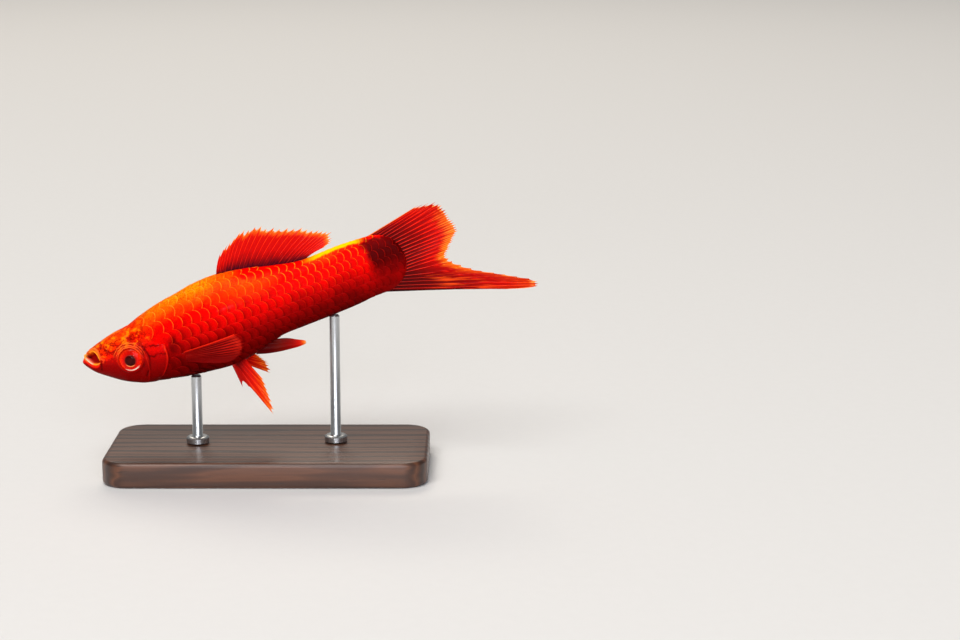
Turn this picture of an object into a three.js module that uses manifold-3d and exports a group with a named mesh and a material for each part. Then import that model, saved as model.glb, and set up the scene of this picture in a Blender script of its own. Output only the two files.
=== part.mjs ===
// A male red swordtail, a live-bearing aquarium fish, at life size: a still model in a head-down swimming
// pose, held over a flat base by two short rods. All lengths are millimetres.
//
// The fish is drawn in its own frame: u runs from the snout to the tail, v is up and y is across, with the
// left side at -y. That frame is then tipped by the pitch and lifted onto the rods. The part's frame has +X
// towards the tail, +Z up, and its origin under the middle of the base.
import * as THREE from "three";
import { mergeVertices } from "three/addons/utils/BufferGeometryUtils.js";
import Module from "manifold-3d";

const wasm = await Module();
wasm.setup();

// Driving dimensions
const FLESH_LENGTH = 65.6; // snout to the rounded rear edge of the scaled tail base
const PITCH_DEG = 16.3; // the snout points down by this much
const GAP = 0.3; // clearance between neighbouring pieces
const SNOUT_ROUND = 2.4; // length over which the snout closes
const TAIL_ROUND = 5.4; // length over which the tail base closes, seen from the side
const TAIL_EDGE_ROUND = 0.7; // the same, seen from above
const HEAD_TURN = 0.8; // sideways set of the snout, towards the left
const TAIL_SWEEP = 3; // sideways set of the tail, towards the right

const FIN_WEB = 0.26; // half thickness of a fin's membrane
const FIN_RAY = 0.44; // half thickness over a fin ray
const FIN_EDGE = 0.13; // half thickness at the tips

const EYE = { u: 9.7, v: -1.3, y: 3.4, radius: 2.5, depth: 1.25, turnDeg: 9, opening: 2.3 };
const GILL = { rise: 0.8, lap: 1.3, rear: 17.1, level: -1.6, top: 0.3 };

const BASE = { length: 62, width: 30, height: 5, corner: 5, chamfer: 0.8 };
const ROD = { radius: 1, footRadius: 2.2, footHeight: 1.2, frontU: 20.5, rearU: 49.5 };
const FISH_AT = { x: -35.6, z: 21.2 }; // where the snout's end of the fish's axis stands

// A smooth curve through a few [position, value] pairs, as a function of the position.
function along(points) {
  const last = points.length - 1;
  const slopes = points.map((_, i) => {
    const before = points[Math.max(i - 1, 0)];
    const after = points[Math.min(i + 1, last)];
    return (after[1] - before[1]) / (after[0] - before[0]);
  });
  return (x) => {
    if (x <= points[0][0]) return points[0][1];
    if (x >= points[last][0]) return points[last][1];
    const k = points.findIndex((p) => p[0] > x) - 1;
    const span = points[k + 1][0] - points[k][0];
    const t = (x - points[k][0]) / span;
    const bend = t * t * (3 - 2 * t);
    return (
      points[k][1] * (1 - bend) +
      points[k + 1][1] * bend +
      slopes[k] * span * t * (1 - t) ** 2 -
      slopes[k + 1] * span * t * t * (1 - t)
    );
  };
}

// Half thickness of a rounded end, as a share: 0 at the end and 1 from the given length on.
const rounded = (x, length) => (x >= length ? 1 : Math.sqrt(Math.max(0, 1 - (1 - x / length) ** 2)));
const smooth = (x) => {
  const t = Math.min(Math.max(x, 0), 1);
  return t * t * (3 - 2 * t);
};

// The body's outline from the side and from above, and how square its section is above and below.
const back = along([
  [0, 1.3], [1.6, 1.95], [3.6, 2.8], [7.1, 3.9], [9.8, 4.45], [13.5, 6.0], [17, 7.05], [21, 8.05], [25, 8.95],
  [29.5, 9.4], [35, 9.0], [41, 8.0], [46, 7.35], [50, 7.65], [54, 8.0], [58, 8.05], [FLESH_LENGTH, 8.0],
]);
const belly = along([
  [0, -0.9], [1.2, -1.9], [3.7, -3.75], [6.9, -5.8], [10.3, -7.1], [14, -7.75], [19, -8.35], [24, -8.7],
  [28, -8.75], [31.5, -8.1], [35, -6.9], [38.5, -5.85], [43, -5.4], [48, -5.0], [54, -4.4], [58, -3.75],
  [FLESH_LENGTH, -3.5],
]);
const halfWidth = along([
  [0, 1.7], [1.6, 2.2], [3.6, 2.85], [7, 3.7], [10, 4.3], [13.5, 4.85], [17, 5.15], [22, 5.3], [28, 5.1],
  [34, 4.55], [40, 3.9], [46, 3.3], [52, 2.6], [58, 1.75], [62.5, 0.9], [FLESH_LENGTH, 0.4],
]);
const widestLevel = along([
  [0, 0.1], [9, -0.9], [18, 0.2], [30, 0.6], [45, 1.1], [58, 1.9], [FLESH_LENGTH, 1.9],
]);
const upperSquareness = along([[0, 2.2], [5, 2.7], [11, 2.6], [18, 2.1], [40, 2], [FLESH_LENGTH, 2.2]]);
const lowerSquareness = along([[0, 2.1], [9, 2], [24, 2.15], [40, 2.05], [FLESH_LENGTH, 2.2]]);

// The body's gentle sideways curve: the head turns a little to the left and the tail sweeps to the right.
function sidewaysCurve(u) {
  const head = -HEAD_TURN * Math.max(0, 1 - u / 20) ** 2;
  return head + TAIL_SWEEP * smooth((u - 28) / 54);
}

// A point of the skin, before the sideways curve. The angle runs from the right flank over the back.
function section(u, angle) {
  const close = rounded(u, SNOUT_ROUND);
  const level = widestLevel(u);
  const upper = Math.sin(angle) >= 0;
  const power = 2 / (upper ? upperSquareness(u) : lowerSquareness(u));
  const reach = (upper ? back(u) - level : level - belly(u)) * close * rounded(FLESH_LENGTH - u, TAIL_ROUND);
  const across = halfWidth(u) * close * rounded(FLESH_LENGTH - u, TAIL_EDGE_ROUND);
  const c = Math.cos(angle);
  const s = Math.sin(angle);
  return new THREE.Vector3(
    u,
    across * Math.sign(c) * Math.abs(c) ** power,
    level + reach * Math.sign(s) * Math.abs(s) ** power,
  );
}

// The gill cover stands proud of the body towards its free rear edge.
function gillRise(u, v) {
  return GILL.rise * smooth((u - 10.5) / 4.5) * smooth((v + 7.1) / 1.6) * smooth((GILL.top - v) / 1.6);
}
// The rear edge of the gill cover, seen from the side.
const gillEdge = (v) => GILL.rear - (v > GILL.level ? 0.033 : 0.13) * (v - GILL.level) ** 2;

// A skin point moved out along the skin's normal, with the sideways curve.
function skin(u, angle, lift = 0) {
  const step = 0.05;
  const point = section(u, angle);
  if (lift !== 0) {
    const lengthwise = section(u + step, angle).sub(section(u - step, angle));
    const around = section(u, angle + step).sub(section(u, angle - step));
    point.addScaledVector(around.cross(lengthwise).normalize(), lift);
  }
  point.y += sidewaysCurve(point.x);
  return point;
}

// A closed solid from vertices and outward triangles.
function solidFrom(vertices, triangles) {
  return new wasm.Manifold(
    new wasm.Mesh({
      numProp: 3,
      vertProperties: new Float32Array(vertices.flatMap((p) => [p.x, p.y, p.z])),
      triVerts: new Uint32Array(triangles),
    }),
  );
}

// The same, whichever way round the triangles were listed.
function outwardSolid(vertices, triangles) {
  const made = solidFrom(vertices, triangles);
  return made.volume() < 0 ? solidFrom(vertices, triangles.toReversed()) : made;
}

// A three.js geometry as a closed solid.
function solidOf(geometry) {
  const bare = geometry.index ? geometry.toNonIndexed() : geometry.clone();
  bare.deleteAttribute("normal");
  bare.deleteAttribute("uv");
  const merged = mergeVertices(bare, 1e-4);
  return new wasm.Manifold(
    new wasm.Mesh({
      numProp: 3,
      vertProperties: new Float32Array(merged.attributes.position.array),
      triVerts: new Uint32Array(merged.index.array),
    }),
  );
}

// The largest closed piece of a solid.
function mainPiece(solid) {
  return solid.decompose().reduce((a, b) => (a.volume() > b.volume() ? a : b));
}

// A solid lofted through rings of points, each end closed by a fan to one point.
function loft(rings, startPole, endPole) {
  const around = rings[0].length;
  const vertices = [...rings.flat(), startPole, endPole];
  const first = rings.length * around;
  const triangles = [];
  for (let i = 0; i < around; i++) {
    const j = (i + 1) % around;
    for (let k = 0; k + 1 < rings.length; k++) {
      const a = k * around + i;
      const b = k * around + j;
      triangles.push(a, b, b + around, a, b + around, a + around);
    }
    const end = (rings.length - 1) * around;
    triangles.push(first, j, i, first + 1, end + i, end + j);
  }
  return outwardSolid(vertices, triangles);
}

// The body between two stations, with an even lift or one given as a function of place.
function bodySolid({ from, to, steps, around, lift = 0 }) {
  const poleIn = 0.02;
  const rings = [];
  for (let i = 0; i <= steps; i++) {
    const u = from + poleIn + (to - from - 2 * poleIn) * (0.5 - 0.5 * Math.cos((Math.PI * i) / steps));
    rings.push(
      Array.from({ length: around }, (_, k) => {
        const angle = (2 * Math.PI * (k + 0.5)) / around;
        const amount = typeof lift === "number" ? lift : lift(u, section(u, angle).z);
        return skin(u, angle, amount);
      }),
    );
  }
  const pole = (ring, u, out) =>
    ring.reduce((sum, p) => sum.add(p), new THREE.Vector3()).divideScalar(ring.length).setX(u + out);
  const even = typeof lift === "number" ? lift : 0;
  return loft(rings, pole(rings[0], from, -even), pole(rings[steps], to, even));
}

// A block across the whole fish whose side view is the outline given as [u, v] pairs.
function sideBlock(outline) {
  const reach = 15;
  const shape = new THREE.Shape(outline.map(([u, v]) => new THREE.Vector2(u, v)));
  const geometry = new THREE.ExtrudeGeometry(shape, { depth: 2 * reach, bevelEnabled: false });
  return solidOf(geometry.rotateX(Math.PI / 2).translate(0, reach, 0));
}

// Everything in front of the gill cover's rear edge, moved back by the given amount.
function blockBeforeGills(moved) {
  const levels = Array.from({ length: 21 }, (_, i) => -14 + 1.4 * i);
  return sideBlock([[-5, -14], ...levels.map((v) => [gillEdge(v) + moved, v]), [-5, 14]]);
}

// A tube along a path of points, round in section, with a radius that may change along it.
function tube(path, radius, sides = 8) {
  const rings = path.map((p, i) => {
    const next = path[Math.min(i + 1, path.length - 1)];
    const run = next.clone().sub(path[Math.max(i - 1, 0)]).normalize();
    const side = new THREE.Vector3(0, 0, 1).cross(run);
    if (side.length() < 0.3) side.set(0, 1, 0).cross(run);
    side.normalize();
    const up = run.clone().cross(side);
    const r = typeof radius === "number" ? radius : radius(i / (path.length - 1));
    return Array.from({ length: sides }, (_, k) => {
      const angle = (2 * Math.PI * k) / sides;
      return p.clone().addScaledVector(side, r * Math.cos(angle)).addScaledVector(up, r * Math.sin(angle));
    });
  });
  return loft(rings, path[0].clone(), path[path.length - 1].clone());
}

// The open mouth, seen from the side as an oval. Its long axis runs from the front down to the corner, and
// its upper and lower rims are given by their distance from that axis at shares along it.
const MOUTH = { front: [1.2, 1.35], corner: [3.75, -0.35], lip: 0.42, lipOut: 0.3 };
const MOUTH_FLOOR = { u: 4.3, v: 0.3, length: 4.8, width: 2.5, height: 5.2 };
const upperRim = along([
  [0, 0.2], [0.13, 0.5], [0.32, 1.2], [0.52, 1.3], [0.72, 1.0], [0.88, 0.5], [1, 0.05],
]);
const lowerRim = along([[0, -0.12], [0.2, -0.3], [0.4, -0.5], [0.65, -0.6], [0.88, -0.42], [1, -0.05]]);
const mouthAxis = new THREE.Vector2(MOUTH.corner[0] - MOUTH.front[0], MOUTH.corner[1] - MOUTH.front[1]);
const mouthLength = mouthAxis.length();
mouthAxis.normalize();
const mouthShare = (p) =>
  ((p.x - MOUTH.front[0]) * mouthAxis.x + (p.z - MOUTH.front[1]) * mouthAxis.y) / mouthLength;
// Signed distance of a point from the mouth's long axis, positive towards the forehead.
const mouthSide = (p) => (p.x - MOUTH.front[0]) * -mouthAxis.y + (p.z - MOUTH.front[1]) * mouthAxis.x;
const mouthPoint = (share, distance) => [
  MOUTH.front[0] + share * mouthLength * mouthAxis.x - distance * mouthAxis.y,
  MOUTH.front[1] + share * mouthLength * mouthAxis.y + distance * mouthAxis.x,
];

// A lip's path on the skin, a little outside the rim: from one corner over the front to the other.
function lipPath(rim, out, lift, steps) {
  const low = 0.05 * Math.PI;
  const path = [];
  for (let i = 0; i <= steps; i++) {
    const angle = -low + (Math.PI + 2 * low) * (i / steps);
    let near = 0.03;
    let far = 7;
    for (let k = 0; k < 30; k++) {
      const middle = (near + far) / 2;
      const p = skin(middle, angle);
      if (mouthSide(p) < rim(mouthShare(p)) + out) near = middle;
      else far = middle;
    }
    path.push(skin(near, angle, lift));
  }
  return path;
}

// The hollow of the mouth, cut in from the front and from both sides as far as its floor.
function mouthHollow() {
  const shares = Array.from({ length: 9 }, (_, i) => i / 8);
  const hollow = sideBlock([
    mouthPoint(-0.9, -0.12),
    ...shares.map((share) => mouthPoint(share, lowerRim(share))),
    ...shares.toReversed().map((share) => mouthPoint(share, upperRim(share))),
    mouthPoint(-0.9, 0.2),
  ]);
  const { u, v, length, width, height } = MOUTH_FLOOR;
  const floor = new THREE.SphereGeometry(0.5, 16, 10).scale(length, width, height);
  return hollow.subtract(solidOf(floor.translate(u, sidewaysCurve(u), v)));
}

// An eyeball-shaped solid on one side of the head: side is -1 on the left and 1 on the right.
function eyeball(side, grow) {
  const geometry = new THREE.SphereGeometry(1, 20, 12).rotateX(Math.PI / 2);
  geometry.scale(EYE.radius + grow, EYE.depth + grow, EYE.radius + grow);
  geometry.rotateZ(side * THREE.MathUtils.degToRad(EYE.turnDeg));
  geometry.translate(EYE.u, side * EYE.y + sidewaysCurve(EYE.u), EYE.v);
  return solidOf(geometry);
}

// The skin's point on one flank at a place given from the side.
function flank(side, u, v, lift = 0) {
  const level = widestLevel(u);
  let low = 0;
  let high = Math.PI / 2;
  for (let k = 0; k < 30; k++) {
    const middle = (low + high) / 2;
    if (Math.abs(section(u, v > level ? middle : -middle).z - level) < Math.abs(v - level)) low = middle;
    else high = middle;
  }
  const angle = v > level ? low : -low;
  return skin(u, side > 0 ? angle : Math.PI - angle, lift);
}

// The fold of skin round the eye: a ring that lies on the head's surface.
function orbitRing(side) {
  const thick = 0.4;
  const ring = EYE.opening + thick;
  const steps = 24;
  const sides = 5;
  const rings = [];
  for (let i = 0; i < steps; i++) {
    const angle = (2 * Math.PI * i) / steps;
    const out = new THREE.Vector3(Math.cos(angle), 0, Math.sin(angle));
    const middle = flank(side, EYE.u + ring * out.x, EYE.v + ring * out.z, -0.05);
    rings.push(
      Array.from({ length: sides }, (_, k) => {
        const turn = (2 * Math.PI * k) / sides;
        const p = middle.clone().addScaledVector(out, thick * Math.cos(turn));
        p.y += side * thick * Math.sin(turn);
        return p;
      }),
    );
  }
  const triangles = [];
  for (let i = 0; i < steps; i++)
    for (let k = 0; k < sides; k++) {
      const a = i * sides + k;
      const b = i * sides + ((k + 1) % sides);
      const c = ((i + 1) % steps) * sides + ((k + 1) % sides);
      const d = ((i + 1) % steps) * sides + k;
      triangles.push(a, b, c, a, c, d);
    }
  return outwardSolid(rings.flat(), triangles);
}

const NOSTRILS = [
  { u: 4.6, v: 2.15, radius: 0.26 },
  { u: 5.5, v: 1.5, radius: 0.3 },
];
function nostril(side, { u, v, radius }) {
  const inner = flank(side, u, v, -0.6);
  const outer = flank(side, u, v, 0.6);
  return tube([inner, outer], radius, 8);
}

// The trunk lies behind the gill slit and in front of the tail cut.
const TAIL_CUT = 47;
const blockBetween = (from, to) => sideBlock([[from, -20], [to, -20], [to, 20], [from, 20]]);
const behindGills = (moved) => blockBetween(-20, 90).subtract(blockBeforeGills(moved));

const bodyGrid = { from: 0, to: FLESH_LENGTH, steps: 44, around: 36 };
const body = bodySolid(bodyGrid);
const bodyClear = bodySolid({ ...bodyGrid, lift: GAP });

function head() {
  const cheeks = bodySolid({ from: 0, to: 20, steps: 28, around: 40, lift: gillRise });
  const trunkClear = bodyClear.intersect(behindGills(-GILL.lap));
  const lips = [
    tube(lipPath(upperRim, MOUTH.lipOut, -0.12, 18), MOUTH.lip, 7),
    tube(lipPath(lowerRim, -MOUTH.lipOut, -0.12, 18), MOUTH.lip, 7),
  ];
  const front = cheeks.intersect(blockBeforeGills(0));
  let made = wasm.Manifold.union([front, ...lips, orbitRing(-1), orbitRing(1)]);
  made = made.subtract(trunkClear).subtract(mouthHollow());
  for (const side of [-1, 1]) {
    made = made.subtract(eyeball(side, GAP));
    for (const place of NOSTRILS) made = made.subtract(nostril(side, place));
  }
  return mainPiece(made);
}

function trunk() {
  const beforeTail = blockBetween(-20, TAIL_CUT - GAP / 2);
  return mainPiece(body.intersect(behindGills(GAP - GILL.lap)).intersect(beforeTail));
}

// A fin: rays run from the curve of roots to the curve of tips as ridges, with a thinner web between, and are
// placed evenly along the two curves. The web is cut back between rays, most behind the first one where a
// notch is given. Both faces are split into triangles alike.
function fin(roots, tips, { rays, rows, scallop = 0.05, notch = scallop, bow = new THREE.Vector3() }) {
  const rootCurve = new THREE.CatmullRomCurve3(roots, false, "centripetal");
  const tipCurve = new THREE.CatmullRomCurve3(tips, false, "centripetal");
  const columns = 2 * rays - 1;
  const middle = [];
  for (let c = 0; c < columns; c++) {
    const share = c / (columns - 1);
    const root = rootCurve.getPoint(share);
    const tip = tipCurve.getPoint(share);
    const run = tip.clone().sub(root);
    const length = c % 2 ? 1 - (c === 1 ? notch : scallop) : 1;
    middle.push(
      Array.from({ length: rows + 1 }, (_, r) => {
        const t = (length * r) / rows;
        const p = root.clone().addScaledVector(run, t);
        p.addScaledVector(bow, 4 * t * (1 - t));
        p.y += sidewaysCurve(p.x);
        return p;
      }),
    );
  }
  const front = [];
  const rear = [];
  for (let c = 0; c < columns; c++)
    for (let r = 0; r <= rows; r++) {
      const acrossRays = middle[Math.min(c + 1, columns - 1)][r].clone().sub(middle[Math.max(c - 1, 0)][r]);
      const alongRay = middle[c][Math.min(r + 1, rows)].clone().sub(middle[c][Math.max(r - 1, 0)]);
      const normal = acrossRays.cross(alongRay).normalize();
      const taper = smooth((rows - r) / (0.3 * rows));
      const half = FIN_EDGE + ((c % 2 ? FIN_WEB : FIN_RAY) - FIN_EDGE) * taper;
      front.push(middle[c][r].clone().addScaledVector(normal, half));
      rear.push(middle[c][r].clone().addScaledVector(normal, -half));
    }
  const at = (c, r) => c * (rows + 1) + r;
  const back = front.length;
  const triangles = [];
  const rim = [];
  for (let c = 0; c + 1 < columns; c++)
    for (let r = 0; r < rows; r++) {
      const [a, b, d, e] = [at(c, r), at(c + 1, r), at(c + 1, r + 1), at(c, r + 1)];
      triangles.push(a, b, d, a, d, e, back + a, back + d, back + b, back + a, back + e, back + d);
    }
  for (let c = 0; c < columns; c++) rim.push(at(c, 0));
  for (let r = 1; r <= rows; r++) rim.push(at(columns - 1, r));
  for (let c = columns - 2; c >= 0; c--) rim.push(at(c, rows));
  for (let r = rows - 1; r > 0; r--) rim.push(at(0, r));
  rim.forEach((a, i) => {
    const b = rim[(i + 1) % rim.length];
    triangles.push(b, a, back + a, b, back + a, back + b);
  });
  const vertices = [...front, ...rear];
  return outwardSolid(vertices, triangles);
}

const at = (u, v, y = 0) => new THREE.Vector3(u, y, v);

// The dorsal fin's rays lean back more and more from the front of the fin to its rear.
function dorsalFin() {
  const sunk = 1.2;
  const leaveBackAt = [30.05, 31.2, 32.8, 35, 37.6, 40.6, 43.2, 45.2, 46.8, 48.1];
  const tips = [
    at(32.2, 13.45), at(34.6, 14.9), at(37.4, 16.0), at(40.6, 15.95), at(44.0, 14.75), at(47.6, 13.4),
    at(50.6, 12.0), at(52.6, 10.9), at(52.8, 9.5), at(51.6, 8.35),
  ];
  const roots = leaveBackAt.map((u, i) => {
    const base = at(u, back(u));
    return base.clone().addScaledVector(tips[i].clone().sub(base).normalize(), -sunk);
  });
  const made = fin(roots, tips, { rays: 14, rows: 7, notch: 0.1, bow: at(-0.3, 0.2) });
  return mainPiece(made.subtract(bodyClear));
}

// The tail fin's rays spring from the rounded rear edge of the tail base.
const TAIL_ROOTS = [
  [57.2, 7.3], [60.0, 6.5], [62.2, 5.1], [63.2, 3.2], [63.4, 1.3], [63.2, -0.5], [62.0, -2.0], [58.2, -3.0],
].map(([u, v]) => at(u, v));
const tailRoots = new THREE.CatmullRomCurve3(TAIL_ROOTS, false, "centripetal");
const tailRootsBetween = (from, to, count) =>
  Array.from({ length: count }, (_, i) => tailRoots.getPoint(from + ((to - from) * i) / (count - 1)));
const FAN_SHARE = 0.7; // share of the tail base's edge that bears the upper, fan-shaped part
const SWORD_FROM = 0.735; // share of it where the sword starts

function tailFan() {
  const tips = [
    at(71.0, 11.0), at(72.9, 10.85), at(74.6, 10.1), at(75.3, 7.9), at(75.8, 6.0),
    at(76.4, 4.1), at(75.2, 2.6), at(74.1, 1.2), at(73.2, -0.4),
  ];
  const roots = tailRootsBetween(0, FAN_SHARE, 7);
  return mainPiece(fin(roots, tips, { rays: 17, rows: 7, scallop: 0.035 }).subtract(bodyClear));
}

function sword() {
  const tips = [
    at(74.0, -1.5), at(77.0, -3.9), at(81.1, -6.0), at(85.2, -8.0), at(88.5, -10.0), at(88.3, -10.8),
    at(74.4, -7.4),
  ];
  const roots = tailRootsBetween(SWORD_FROM, 1, 4);
  return mainPiece(fin(roots, tips, { rays: 6, rows: 12, scallop: 0.01 }).subtract(bodyClear));
}

// A breast fin, folded back along the flank and standing a little away from it.
function breastFin(side) {
  const rootY = (v) => Math.abs(flank(side, 18.6, v).y - sidewaysCurve(18.6)) - 0.9;
  const roots = [-2.8, -3.3, -3.8, -4.3].map((v) => at(18.5 - 0.1 * (v + 3), v, side * rootY(v)));
  const tips = [
    at(31.3, -1.4, side * 7.9), at(32.1, -2.6, side * 8.0), at(32.1, -3.9, side * 7.9),
    at(31.5, -5.2, side * 7.6), at(30.2, -6.3, side * 7.2), at(28.0, -6.7, side * 6.7),
  ];
  const bow = at(0, 0, side * 0.7);
  return mainPiece(fin(roots, tips, { rays: 10, rows: 6, scallop: 0.04, bow }).subtract(bodyClear));
}

// A belly fin: its second ray is drawn out into a long point, as in a grown male.
function bellyFin(side) {
  const sunk = 1.3;
  const roots = [27.4, 28.3, 29.2, 30.1].map((u) => at(u, belly(u) + sunk, side * 1.3));
  const left = [
    at(28.4, -13.0, -2.6), at(32.8, -19.6, -4.0), at(33.1, -17.2, -3.8), at(33.0, -15.0, -3.4),
    at(32.9, -12.9, -3.0), at(31.6, -10.6, -2.2),
  ];
  const right = [
    at(30.0, -11.8, 3.4), at(33.1, -13.5, 6.0), at(33.4, -12.1, 5.6), at(33.4, -11.0, 4.9),
    at(33.1, -10.0, 4.0), at(32.5, -8.9, 2.8),
  ];
  const made = fin(roots, side < 0 ? left : right, { rays: 6, rows: 7, scallop: 0.06, notch: 0.45 });
  return mainPiece(made.subtract(bodyClear));
}

// The male's rod-like anal fin, carried back under the belly.
function gonopodium() {
  const path = [
    at(33.0, -6.3), at(34.8, -6.9), at(36.8, -7.35), at(38.8, -7.65), at(40.7, -8.1), at(42.3, -8.35),
  ];
  const tall = along([[0, 1.6], [0.35, 1.3], [0.6, 1.1], [0.8, 0.72], [1, 0.35]]);
  const wide = along([[0, 0.75], [0.5, 0.5], [1, 0.28]]);
  const sides = 10;
  const rings = path.map((p, i) => {
    const share = i / (path.length - 1);
    const run = path[Math.min(i + 1, path.length - 1)].clone().sub(path[Math.max(i - 1, 0)]).normalize();
    const up = new THREE.Vector3(-run.z, 0, run.x);
    return Array.from({ length: sides }, (_, k) => {
      const angle = (2 * Math.PI * k) / sides;
      const q = p.clone().addScaledVector(up, tall(share) * Math.sin(angle));
      q.y += wide(share) * Math.cos(angle) + sidewaysCurve(p.x);
      return q;
    });
  });
  const end = (ring) => ring.reduce((sum, p) => sum.add(p), new THREE.Vector3()).divideScalar(sides);
  return mainPiece(loft(rings, end(rings[0]), end(rings[rings.length - 1])).subtract(bodyClear));
}

const RED = { color: 0xd8180c, roughness: 0.35, metalness: 0 };
const FIN_RED = { color: 0xd42010, roughness: 0.45, metalness: 0 };
const IRIS_RED = { color: 0xb01208, roughness: 0.1, metalness: 0 };
const DARK_WOOD = { color: 0x3a2417, roughness: 0.45, metalness: 0 };
const STEEL = { color: 0xb8babd, roughness: 0.25, metalness: 1 };

// A named mesh of a solid, in its own material.
function piece(name, solid, finish) {
  const mesh = solid.getMesh();
  const points = new Float32Array(mesh.numVert * 3);
  for (let i = 0; i < mesh.numVert; i++)
    points.set(mesh.vertProperties.subarray(i * mesh.numProp, i * mesh.numProp + 3), i * 3);
  const geometry = new THREE.BufferGeometry()
    .setAttribute("position", new THREE.BufferAttribute(points, 3))
    .setIndex(new THREE.BufferAttribute(mesh.triVerts, 1));
  geometry.computeVertexNormals();
  const made = new THREE.Mesh(geometry, new THREE.MeshStandardMaterial(finish));
  made.name = name;
  return made;
}

const fish = new THREE.Group();
fish.rotation.y = -THREE.MathUtils.degToRad(PITCH_DEG);
fish.position.set(FISH_AT.x, 0, FISH_AT.z);
fish.updateMatrix();
fish.add(
  piece("head", head(), RED),
  piece("trunk", trunk(), RED),
  piece("tail_base", mainPiece(body.intersect(blockBetween(TAIL_CUT + GAP / 2, 90))), RED),
  piece("eye_left", eyeball(-1, 0), IRIS_RED),
  piece("eye_right", eyeball(1, 0), IRIS_RED),
  piece("dorsal_fin", dorsalFin(), FIN_RED),
  piece("tail_fan", tailFan(), FIN_RED),
  piece("sword", sword(), FIN_RED),
  piece("breast_fin_left", breastFin(-1), FIN_RED),
  piece("breast_fin_right", breastFin(1), FIN_RED),
  piece("belly_fin_left", bellyFin(-1), FIN_RED),
  piece("belly_fin_right", bellyFin(1), FIN_RED),
  piece("gonopodium", gonopodium(), FIN_RED),
);

// The stand: a flat base with chamfered edges, and two rods whose tops follow the belly.
function standBase() {
  const { length, width, height, corner, chamfer } = BASE;
  const [x, y] = [length / 2 - chamfer, width / 2 - chamfer];
  const r = corner - chamfer;
  const shape = new THREE.Shape()
    .moveTo(-x + r, -y)
    .lineTo(x - r, -y)
    .absarc(x - r, -y + r, r, -Math.PI / 2, 0)
    .lineTo(x, y - r)
    .absarc(x - r, y - r, r, 0, Math.PI / 2)
    .lineTo(-x + r, y)
    .absarc(-x + r, y - r, r, Math.PI / 2, Math.PI)
    .lineTo(-x, -y + r)
    .absarc(-x + r, -y + r, r, Math.PI, 1.5 * Math.PI);
  const geometry = new THREE.ExtrudeGeometry(shape, {
    depth: height - 2 * chamfer,
    bevelThickness: chamfer,
    bevelSize: chamfer,
    bevelSegments: 1,
    curveSegments: 6,
  });
  return solidOf(geometry.translate(0, 0, chamfer));
}

const worldOf = (u, v) => new THREE.Vector3(u, sidewaysCurve(u), v).applyMatrix4(fish.matrix);
const bodyClearInPlace = bodyClear.transform([...fish.matrix.elements]);

function rod(u) {
  const top = worldOf(u, belly(u) + 1.5);
  const { radius, footRadius, footHeight } = ROD;
  const low = BASE.height + GAP;
  const profile = [
    [0, low], [footRadius, low], [footRadius, low + 0.6 * footHeight], [footRadius - 0.5, low + footHeight],
    [radius, low + footHeight], [radius, top.z], [0, top.z],
  ].map(([r, z]) => new THREE.Vector2(r, z));
  const geometry = new THREE.LatheGeometry(profile, 20).rotateX(Math.PI / 2);
  return mainPiece(solidOf(geometry.translate(top.x, top.y, 0)).subtract(bodyClearInPlace));
}

const model = new THREE.Group();
model.add(
  fish,
  piece("stand_base", standBase(), DARK_WOOD),
  piece("stand_rod_front", rod(ROD.frontU), STEEL),
  piece("stand_rod_rear", rod(ROD.rearU), STEEL),
);

export default model;
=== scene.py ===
"""A male red swordtail, life size, as a still museum model on a small display stand."""

import math
import random

import bpy
import numpy as np
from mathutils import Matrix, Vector


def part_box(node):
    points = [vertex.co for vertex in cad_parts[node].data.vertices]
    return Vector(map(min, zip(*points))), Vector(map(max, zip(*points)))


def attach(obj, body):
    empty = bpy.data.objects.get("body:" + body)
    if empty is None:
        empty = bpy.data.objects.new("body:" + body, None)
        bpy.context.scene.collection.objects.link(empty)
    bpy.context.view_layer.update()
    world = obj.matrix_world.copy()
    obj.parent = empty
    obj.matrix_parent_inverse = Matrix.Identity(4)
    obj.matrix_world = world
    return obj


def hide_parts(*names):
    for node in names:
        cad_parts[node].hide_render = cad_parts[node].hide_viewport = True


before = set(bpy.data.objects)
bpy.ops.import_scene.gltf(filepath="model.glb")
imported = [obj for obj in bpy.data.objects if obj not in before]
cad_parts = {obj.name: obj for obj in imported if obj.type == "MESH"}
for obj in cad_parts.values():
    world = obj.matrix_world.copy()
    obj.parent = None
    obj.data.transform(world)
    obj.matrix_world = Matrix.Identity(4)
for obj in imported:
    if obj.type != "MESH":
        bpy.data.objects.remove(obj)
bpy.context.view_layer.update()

# The skin
# One closed skin runs from the lips to the rounded end of the tail base, with the mouth, nostrils, eye
# sockets and free-edged gill covers worked into it. It is a loft of rings through the fish's own outline,
# and it lies under the scales by their thickness.
MM = 0.001
FLESH_LENGTH = 65.6  # mm, snout to the rounded rear edge of the scaled tail base
PITCH = math.radians(16.3)  # the snout points down by this much
SNOUT_AT = np.array([-35.6, 0.0, 21.2])  # mm, where the fish's own axis starts in the model
SNOUT_ROUND = 2.4  # mm, over which the snout is rounded
TAIL_ROUND = 5.4  # mm, over which the tail base is rounded, seen from the side
TAIL_EDGE_ROUND = 0.7  # mm, the same, seen from above
HEAD_TURN = 0.8  # mm, how far the snout is turned to the left
TAIL_SWEEP = 3.0  # mm, how far the tail is swept to the right
COAT = 0.16  # mm, how deep the skin lies under the outer face of the scales


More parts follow.
